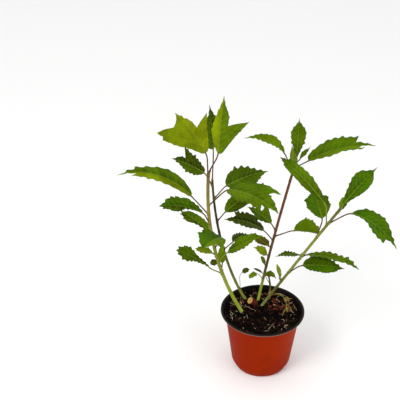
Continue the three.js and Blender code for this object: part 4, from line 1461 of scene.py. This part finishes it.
def blade_points(leaf, along, across, height):
    """Points of the blade, by shares along and across and heights over the middle of the blade.
    The cross section is folded along the midrib, waved, and rolled; the midrib droops as an arc."""
    length = leaf["length"]
    fold, roll = math.radians(leaf["fold"]), math.radians(leaf["roll"])
    wave = WAVE_SLOPE * np.sin(2 * math.pi * (WAVE_TURNS * along + chance(leaf["seed"])))
    side = across * length * math.cos(fold)
    lift = np.abs(across) * length * (math.sin(fold) + wave) + height
    sideways = side * math.cos(roll) - lift * math.sin(roll)
    normal = side * math.sin(roll) + lift * math.cos(roll)
    bend = max(math.radians(leaf["droop"]), LEAST_BEND) / length
    angle = bend * along * length
    forward = np.sin(angle) / bend + normal * np.sin(angle)
    rise = -(1 - np.cos(angle)) / bend + normal * np.cos(angle)
    place = leaf["base"] + forward[:, None] * leaf["ahead"]
    return place + sideways[:, None] * leaf["left"] + rise[:, None] * leaf["over"]


def midrib_points(leaf, along, height):
    return blade_points(leaf, along, np.zeros(len(along)), height)


def outline_curves(form):
    """Splits a half outline at its sharp corners into smooth curves."""
    curves = []
    span = [form[0][:2]]
    for point in form[1:]:
        span.append(point[:2])
        if len(point) == 3 or point is form[-1]:
            curves.append(spline(span, OUTLINE_STEPS))
            span = [point[:2]]
    return curves


def toothed_edge(leaf, form):
    """The edge of one half, in millimetres: forward-pointing teeth with a rounded back along each
    curve, a little uneven in depth, and flatter where the edge turns away from the tip."""
    edge = [(0.0, 0.0)]
    seed = leaf["seed"] * SEEDS_PER_LEAF
    shares = np.arange(1, TOOTH_STEPS + 1) / TOOTH_STEPS
    for curve in outline_curves(FORMS[form]):
        span = line_length(curve)
        teeth = int(np.clip(round(span * leaf["length"] / TOOTH_PITCH), 1, MOST_TEETH))
        for i in range(teeth):
            uneven = TOOTH_LEAST + TOOTH_SPREAD * chance(seed) ** 2
            size = TOOTH_DEPTH * leaf["jag"] * uneven * span / teeth
            seed += 1
            places = along_line(curve, (i + shares) / teeth)
            after = along_line(curve, np.clip((i + shares + TOOTH_NEAR) / teeth, 0, 1))
            before = along_line(curve, np.clip((i + shares - TOOTH_NEAR) / teeth, 0, 1))
            for share, place, step in zip(shares, places, after - before):
                step = unit(step)
                back = min(1, share / TOOTH_CREST) ** TOOTH_ROUND
                front = min(1, (1 - share) / (1 - TOOTH_CREST))
                grown = np.clip((place[0] - TOOTHLESS_BASE) / (FULL_TEETH - TOOTHLESS_BASE), 0, 1)
                rise = size * back * front * grown * max(0.0, step[0]) if i < teeth - 1 else 0
                edge.append(tuple(place + np.array((-step[1], step[0])) * rise))
    return np.array([(x, max(0.0, y) * leaf["wide"]) for x, y in edge]) * leaf["length"]


def vein_line(start, angles, ring, side, span, others):
    """A side vein that bends forward as it runs out, up to the edge or near another vein."""
    line = [np.array(start, float)]
    walked = 0.0
    while walked < span * VEIN_LIMIT:
        angle = math.radians(lerp(angles[0], angles[1], min(1, walked / span)))
        step = np.array((math.cos(angle), side * math.sin(angle))) * VEIN_STEP
        ahead = line[-1] + step
        if not inside((ahead + step * VEIN_FEELER)[None], ring)[0]:
            break
        if walked > 2 * VEIN_STEP and nearest(ahead[None], others)[0] < VEIN_CLEARANCE:
            break
        line.append(ahead)
        walked += VEIN_STEP
    return np.array(line)


def lobe_tips(form):
    """The sharp corners of a half outline that stand out further than both of their neighbours."""
    points = FORMS[form]
    return [here[:2] for before, here, after in zip(points, points[1:], points[2:])
            if len(here) == 3 and here[1] > max(before[1], after[1]) and here[0] < LAST_LOBE]


def lobe_veins(leaf, form, side):
    """A vein to the tip of each lobe, with the share of the midrib where it leaves."""
    found = []
    for x, y in lobe_tips(form):
        begin = max(FIRST_VEIN, x - y * leaf["wide"] / math.tan(math.radians(LOBE_ANGLE)))
        tip = np.array((x, y * leaf["wide"] * side)) * leaf["length"] * VEIN_REACH
        root = np.array((begin * leaf["length"], 0.0))
        control = lerp(root, tip, 0.5) + np.array((LOBE_BOW[0], side * LOBE_BOW[1])) * leaf["length"]
        count = max(LEAST_VEIN, int(np.linalg.norm(tip - root) / VEIN_STEP))
        found.append((begin, bezier((root, control, tip), np.linspace(0, 1, count))))
    return found


def side_veins(leaf, form, side, ring):
    """The veins of one half: one to each lobe, and even ones where these leave room."""
    length = leaf["length"]
    breadth = max(y for _, y, *_ in FORMS[form]) * leaf["wide"] * length
    lobes = lobe_veins(leaf, form, side)
    veins = [line for _, line in lobes]
    place = FIRST_VEIN
    number = 0
    while place < LAST_VEIN:
        jitter = VEIN_JITTER * (chance(leaf["seed"] * 7 + number + side) - 0.5)
        if all(abs(place - begin) > LOBE_ROOM for begin, _ in lobes):
            root = ((place + jitter + VEIN_SHIFT) * length, 0.0)
            others = np.concatenate(veins) if veins else ()
            veins.append(vein_line(root, VEIN_ANGLES, ring, side, breadth * VEIN_BEND_SPAN, others))
        place += VEIN_PITCH
        number += 1
    return [line for line in veins if len(line) >= LEAST_VEIN]


def branches(line, known, ring, side):
    """The branches of a side vein, a pair at each of a few places along it."""
    made = []
    for share in BRANCH_SHARES:
        at = int(share * (len(line) - 1))
        run = line[min(at + 1, len(line) - 1)] - line[max(at - 1, 0)]
        angle = math.degrees(math.atan2(abs(run[1]), run[0]))
        others = known[np.linalg.norm(known - line[at], axis=1) > BRANCH_ROOM]
        for spread in (BRANCH_ANGLE, -BRANCH_ANGLE):
            angles = (angle + spread, angle + spread * BRANCH_BEND)
            branch = vein_line(line[at], angles, ring, side, BRANCH_SPAN, others)
            if len(branch) >= LEAST_VEIN:
                made.append(branch[1:])
    return made


def vein_net(leaf, ring):
    """The points of a blade's veins by rank: the midrib, the side veins, and their branches."""
    steps = max(LEAST_MIDRIB, int(leaf["length"] / VEIN_STEP))
    midrib = np.stack([np.linspace(0, VEIN_REACH * leaf["length"], steps), np.zeros(steps)], axis=1)
    from_midrib = []
    from_sides = []
    for side, form in zip((1, -1), leaf["forms"]):
        mine = side_veins(leaf, form, side, ring)
        known = np.concatenate([midrib, *mine])
        for line in mine:
            if line_length(line) >= BRANCHED_LENGTH:
                from_sides.extend(branches(line, known, ring, side))
        from_midrib.extend(mine)
    ranks = ([midrib], from_midrib, from_sides)
    return [np.concatenate(rank) if rank else np.zeros((0, 2)) for rank in ranks]


def blade_net(leaf, ring, ranks, look):
    """Flat triangles over a blade that follow its edge and its veins."""
    spacing = look.spacing / MM
    grid = hexagonal(spacing, ring.min(axis=0), ring.max(axis=0))
    jitter = [[chance(i * step + leaf["seed"]) for step in GRID_SEEDS] for i in range(len(grid))]
    grid = grid + (np.array(jitter) - 0.5) * spacing * GRID_JITTER
    veins = np.concatenate(ranks)
    veins = veins[inside(veins, ring) & (nearest(veins, ring) > VEIN_TO_EDGE)]
    kept = []
    for point in veins:
        if nearest(point[None], kept)[0] > VEIN_TO_VEIN:
            kept.append(point)
    veins = np.array(kept).reshape(-1, 2)
    grid = grid[inside(grid, ring)]
    off_ring = nearest(grid, ring) > spacing * GRID_TO_RING
    off_veins = nearest(grid, veins) > spacing * GRID_TO_VEIN
    return fill([ring], np.concatenate([veins, grid[off_ring & off_veins]]))


def blade_relief(leaf, flat, ring, ranks, look):
    """The height, the groove, the vein colour and the nearness to the edge at the points of a blade."""
    length = leaf["length"]
    small = min(1.0, length / FULL_RELIEF)
    groove = np.zeros(len(flat))
    colour = np.zeros(len(flat))
    closest = np.full(len(flat), FAR)
    for line, rank in zip(ranks, VEIN_RANKS):
        away = nearest(flat, line)
        groove = np.maximum(groove, rank["depth"] * small * bell(away, rank["groove"]))
        colour = np.maximum(colour, rank["weight"] * bell(away, rank["line"]))
        closest = np.minimum(closest, away)
    from_edge = nearest(flat, ring)
    swell = look.quilting / MM * small * (1 - bell(closest, QUILT_WIDTH))
    turns = RUFFLE_TURNS * flat[:, 0] / length + chance(leaf["seed"] + 60) * RUFFLE_PHASE
    ruffle = look.ruffle / MM * small * np.exp(-from_edge / RUFFLE_WIDTH) * np.sin(turns * 2 * math.pi)
    from_ends = np.minimum(flat[:, 0], length - flat[:, 0]) / (STILL_ENDS * length)
    height = (swell + ruffle) * np.clip(from_ends, 0, 1) - groove
    return height, groove, colour, np.exp(-from_edge / EDGE_WIDTH)


def open_edges(faces):
    """The edges that only one of the faces has."""
    edges = [(a, b) for face in faces for a, b in zip(face, (*face[1:], face[0]))]
    known = set(edges)
    return [(a, b) for a, b in edges if (b, a) not in known]


def add_blade(shape, leaf, look, names):
    """Adds a closed blade: its top, its underside with raised veins, and its rim."""
    left, right = (toothed_edge(leaf, form) for form in leaf["forms"])
    ring = np.concatenate([right * (1, -1), left[::-1][1:-1]])
    ranks = vein_net(leaf, ring)
    flat, faces = blade_net(leaf, ring, ranks, look)
    height, groove, colour, near_edge = blade_relief(leaf, flat, ring, ranks, look)
    along, across = flat.T / leaf["length"]
    thick = look.thickness / MM
    top = blade_points(leaf, along, across, height + thick / 2)
    below = blade_points(leaf, along, across, height - thick / 2 - groove * VEIN_RAISED)
    count = len(flat)
    rim = open_edges(faces)
    left_slot, right_slot = (names.index(tint) for tint in leaf["half_tints_with_painted_light"])
    slots = [left_slot if flat[list(face), 1].mean() > 0 else right_slot for face in faces]
    rim_slots = [left_slot if flat[a, 1] + flat[b, 1] > 0 else right_slot for a, b in rim]
    solid = list(faces)
    solid.extend(tuple(count + corner for corner in reversed(face)) for face in faces)
    solid.extend((a, a + count, b + count, b) for a, b in rim)
    place = np.column_stack([flat * MM, np.full(count, leaf["seed"] * PATTERN_STEP)])
    shape.add([*top, *below], solid, [*slots, *slots, *rim_slots],
              flat=[*place, *place], vein=[*colour, *colour],
              under=[*np.zeros(count), *np.ones(count)], edge=[*near_edge, *near_edge])


def leaves_of(stem, leaves):
    return [leaf for leaf in leaves if leaf["stem"] == stem]


def make_foliage(leaves, look):
    """The blades of each stem as one piece, in place of the stem's single leaves and its leafy tip."""
    names = list(TINTS_WITH_PAINTED_LIGHT)
    finishes = [leaf_finish(name, look) for name in names]
    for stem in STEMS:
        shape = Shape("flat", "vein", "under", "edge")
        for leaf in leaves_of(stem, leaves):
            add_blade(shape, leaf, look, names)
        foliage = shape.make("foliage_" + stem, finishes, sharp_angle=50)
        nodes = [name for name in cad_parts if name.startswith(f"leaf_{stem}_")]
        nodes.append("sprout" if stem == "sprout" else "leafy_tip_" + stem)
        settle(foliage, "leaf", *nodes)


def add_stalk(shape, leaf):
    """Adds a stalk, swollen at both ends and drawn on under its blade as the raised midrib."""
    thick = min(STALK_THICK, leaf["length"] / STALK_SLENDERNESS)
    under = -thick * RIB_SINK
    reach = leaf["reach"]
    base = midrib_points(leaf, np.zeros(1), np.full(1, under))[0]
    control = (leaf["start"], leaf["start"] + leaf["out"] * reach * STALK_LEAVES,
               base - leaf["ahead"] * reach * STALK_ARRIVES, base)
    shares = np.linspace(0, 1, STALK_STEPS)
    foot = STALK_FOOT["swelling"] * bell(shares * reach, STALK_FOOT["length"])
    knee = STALK_KNEE["swelling"] * bell((1 - shares) * reach, STALK_KNEE["length"])
    rib = np.linspace(0, RIB_END, RIB_STEPS)[1:]
    thinning = rib / RIB_END
    sink = lerp(under, RIB_TIP_SINK, thinning)
    path = np.concatenate([bezier(control, shares), midrib_points(leaf, rib, sink)])
    rib_radii = lerp(thick / 2 * RIB_THICK, RIB_TIP_RADIUS, thinning ** RIB_THINNING)
    radii = np.concatenate([thick / 2 * (STALK_WAIST + foot + knee), rib_radii])
    stalk_green = STALK_GREEN[0] + STALK_GREEN[1] * shares ** 2
    green = np.concatenate([stalk_green, np.full(len(rib), RIB_GREEN)])
    if (leaf["stem"], leaf["at"]) in PALE_STALKS:
        green = np.maximum(green, PALE_GREEN)
    shape.tube(path, radii, STALK_SIDES, lambda i, out, centre: 0.04 * rough(centre, 2.5), green=green)


def make_stalks(leaves, look):
    for stem in STEMS:
        shape = Shape("green")
        for leaf in leaves_of(stem, leaves):
            add_stalk(shape, leaf)
        stalks = shape.make("leaf_stalks_" + stem, [stalk_finish(look)])
        settle(stalks, "leaf")


def make_buds(leaves):
    """A plump bud in the crook of each stalk, with a pair of narrow scales beside it."""
    shape = Shape()
    shares = np.linspace(0, 1, BUD_RINGS)
    plump = BUD_THICK * np.sin(math.pi * lerp(*BUD_ENDS, shares)) ** BUD_ROUND
    for leaf in leaves:
        if leaf["stem"] == "sprout":
            continue
        start = leaf["start"]
        up = unit(stem_points(leaf["stem"], [min(1, leaf["at"] + 0.02)])[0] - start)
        out = unit(leaf["out"] - up * leaf["out"].dot(up))
        thick = stem_radius(leaf["stem"], leaf["at"], start[2])
        size = draw(leaf["seed"] + 80, *BUD_SIZE)
        foot = start + out * (thick + BUD_CLEAR) + up * BUD_RISE
        lean = unit(up * BUD_LEAN["up"] + out * BUD_LEAN["out"])
        shape.tube([foot + lean * size * BUD_LENGTH * share for share in shares], size * plump, BUD_SIDES)
        aside = np.cross(out, up)
        for turn in (1, -1):
            away = aside * turn
            root = start + away * thick * SCALE_ROOT["aside"] + out * thick * SCALE_ROOT["out"]
            belly = root + (away + out) * SCALE_BELLY["away"] + up * SCALE_BELLY["up"]
            tip = root + away * SCALE_TIP["aside"] + out + up * SCALE_TIP["up"]
            path = bezier((root, belly, tip), np.linspace(0, 1, SCALE_RINGS))
            shape.tube(path, np.linspace(*SCALE_RADIUS, SCALE_RINGS), SCALE_SIDES)
    buds = shape.make("buds_and_scales", [bud_finish()])
    settle(buds, "green_stem")


# Stage

def area_light(name, place, size, power, colour):
    """A round, even light that looks at the middle of the plant."""
    data = bpy.data.lights.new(name, "AREA")
    data.shape = "DISK"
    data.size = size
    data.energy = power
    data.color = colour
    light = put(name, data)
    light.location = place
    light.rotation_euler = (Vector(LIT_POINT) - Vector(place)).to_track_quat("-Z", "Y").to_euler()


def make_stage(look):
    """A wide pale floor, an even sky, two large soft lights, and the camera at the photo's place."""
    mesh = bpy.data.meshes.new("stage_floor")
    corners = [(FLOOR_HALF * x, FLOOR_HALF * y, 0) for x, y in ((-1, -1), (1, -1), (1, 1), (-1, 1))]
    mesh.from_pydata(corners, [], [(0, 1, 2, 3)])
    mesh.materials.append(floor_finish(look))
    put("stage_floor", mesh)
    world = bpy.data.worlds.new("stage_sky")
    world.use_nodes = True
    sky = world.node_tree.nodes["Background"]
    sky.inputs["Color"].default_value = (1, 1, 1, 1)
    sky.inputs["Strength"].default_value = look.sky_strength
    bpy.context.scene.world = world
    area_light("key_light", (-0.75, -0.9, 1.35), 0.7, look.key_strength, (1, 0.98, 0.95))
    area_light("fill_light", (1.1, -0.7, 0.7), 1.0, look.fill_strength, (0.96, 0.98, 1))
    data = bpy.data.cameras.new("photo_camera")
    data.sensor_width = SENSOR_WIDTH
    data.lens = CAMERA_LENS
    camera = put("photo_camera", data)
    camera.location = [value * MM for value in CAMERA_PLACE]
    camera.rotation_euler = (math.radians(90 - CAMERA_PITCH), 0, math.radians(CAMERA_YAW))
    bpy.context.scene.camera = camera
    bpy.context.scene.view_settings.view_transform = "Standard"


# Operators, one for each piece or group of like pieces

class HIBISCUS_OT_pot(Operator):
    """Makes the moulded nursery pot"""
    bl_idname = "hibiscus.pot"
    bl_label = "Pot"

    def execute(self, context):
        make_pot(context.scene.hibiscus_pot)
        return {"FINISHED"}


class HIBISCUS_OT_soil(Operator):
    """Makes the potting soil with its crumbs, bark chips and fibres"""
    bl_idname = "hibiscus.soil"
    bl_label = "Soil"

    def execute(self, context):
        look = context.scene.hibiscus_soil
        make_crumbs(make_soil(look), look)
        make_chips(look)
        make_fibres(look)
        return {"FINISHED"}


class HIBISCUS_OT_old_wood(Operator):
    """Makes the cut stump and the dried twig that stand in the soil"""
    bl_idname = "hibiscus.old_wood"
    bl_label = "Stump and twig"

    def execute(self, context):
        make_stump()
        make_twig()
        return {"FINISHED"}


class HIBISCUS_OT_stems(Operator):
    """Makes the stems with their leaf scars and pores"""
    bl_idname = "hibiscus.stems"
    bl_label = "Stems"

    def execute(self, context):
        look = context.scene.hibiscus_stem
        leaves = grown_leaves()
        make_pores({name: make_stem(name, leaves, look) for name in STEMS}, look)
        return {"FINISHED"}


class HIBISCUS_OT_leaves(Operator):
    """Makes the blades, their stalks and the buds"""
    bl_idname = "hibiscus.leaves"
    bl_label = "Leaves"

    def execute(self, context):
        look = context.scene.hibiscus_leaf
        leaves = grown_leaves()
        make_foliage(leaves, look)
        make_stalks(leaves, look)
        make_buds(leaves)
        return {"FINISHED"}


class HIBISCUS_OT_stage(Operator):
    """Makes the floor, the lights and the camera"""
    bl_idname = "hibiscus.stage"
    bl_label = "Stage"

    def execute(self, context):
        make_stage(context.scene.hibiscus_stage)
        return {"FINISHED"}


class HIBISCUS_PT_sidebar(Panel):
    bl_label = "Potted hibiscus"
    bl_idname = "HIBISCUS_PT_sidebar"
    bl_space_type = "VIEW_3D"
    bl_region_type = "UI"
    bl_category = "Hibiscus"

    def draw(self, context):
        for name, steps in PANEL_STEPS.items():
            look = getattr(context.scene, name)
            box = self.layout.box()
            for each in look.__annotations__:
                box.prop(look, each)
            for step in steps:
                box.operator("hibiscus." + step)


PANEL_STEPS = {
    "hibiscus_pot": ("pot",),
    "hibiscus_soil": ("soil", "old_wood"),
    "hibiscus_stem": ("stems",),
    "hibiscus_leaf": ("leaves",),
    "hibiscus_stage": ("stage",),
}
GROUPS = {
    "hibiscus_pot": HibiscusPot,
    "hibiscus_soil": HibiscusSoil,
    "hibiscus_stem": HibiscusStem,
    "hibiscus_leaf": HibiscusLeaf,
    "hibiscus_stage": HibiscusStage,
}
CLASSES = (
    *GROUPS.values(), HIBISCUS_OT_pot, HIBISCUS_OT_soil, HIBISCUS_OT_old_wood, HIBISCUS_OT_stems,
    HIBISCUS_OT_leaves, HIBISCUS_OT_stage, HIBISCUS_PT_sidebar,
)


def register():
    for each in CLASSES:
        bpy.utils.register_class(each)
    for name, group in GROUPS.items():
        setattr(bpy.types.Scene, name, PointerProperty(type=group))


def unregister():
    for name in GROUPS:
        delattr(bpy.types.Scene, name)
    for each in reversed(CLASSES):
        bpy.utils.unregister_class(each)


def main():
    register()
    bpy.ops.hibiscus.stage()
    bpy.ops.hibiscus.pot()
    bpy.ops.hibiscus.soil()
    bpy.ops.hibiscus.old_wood()
    bpy.ops.hibiscus.stems()
    bpy.ops.hibiscus.leaves()


if __name__ == "__main__":
    main()
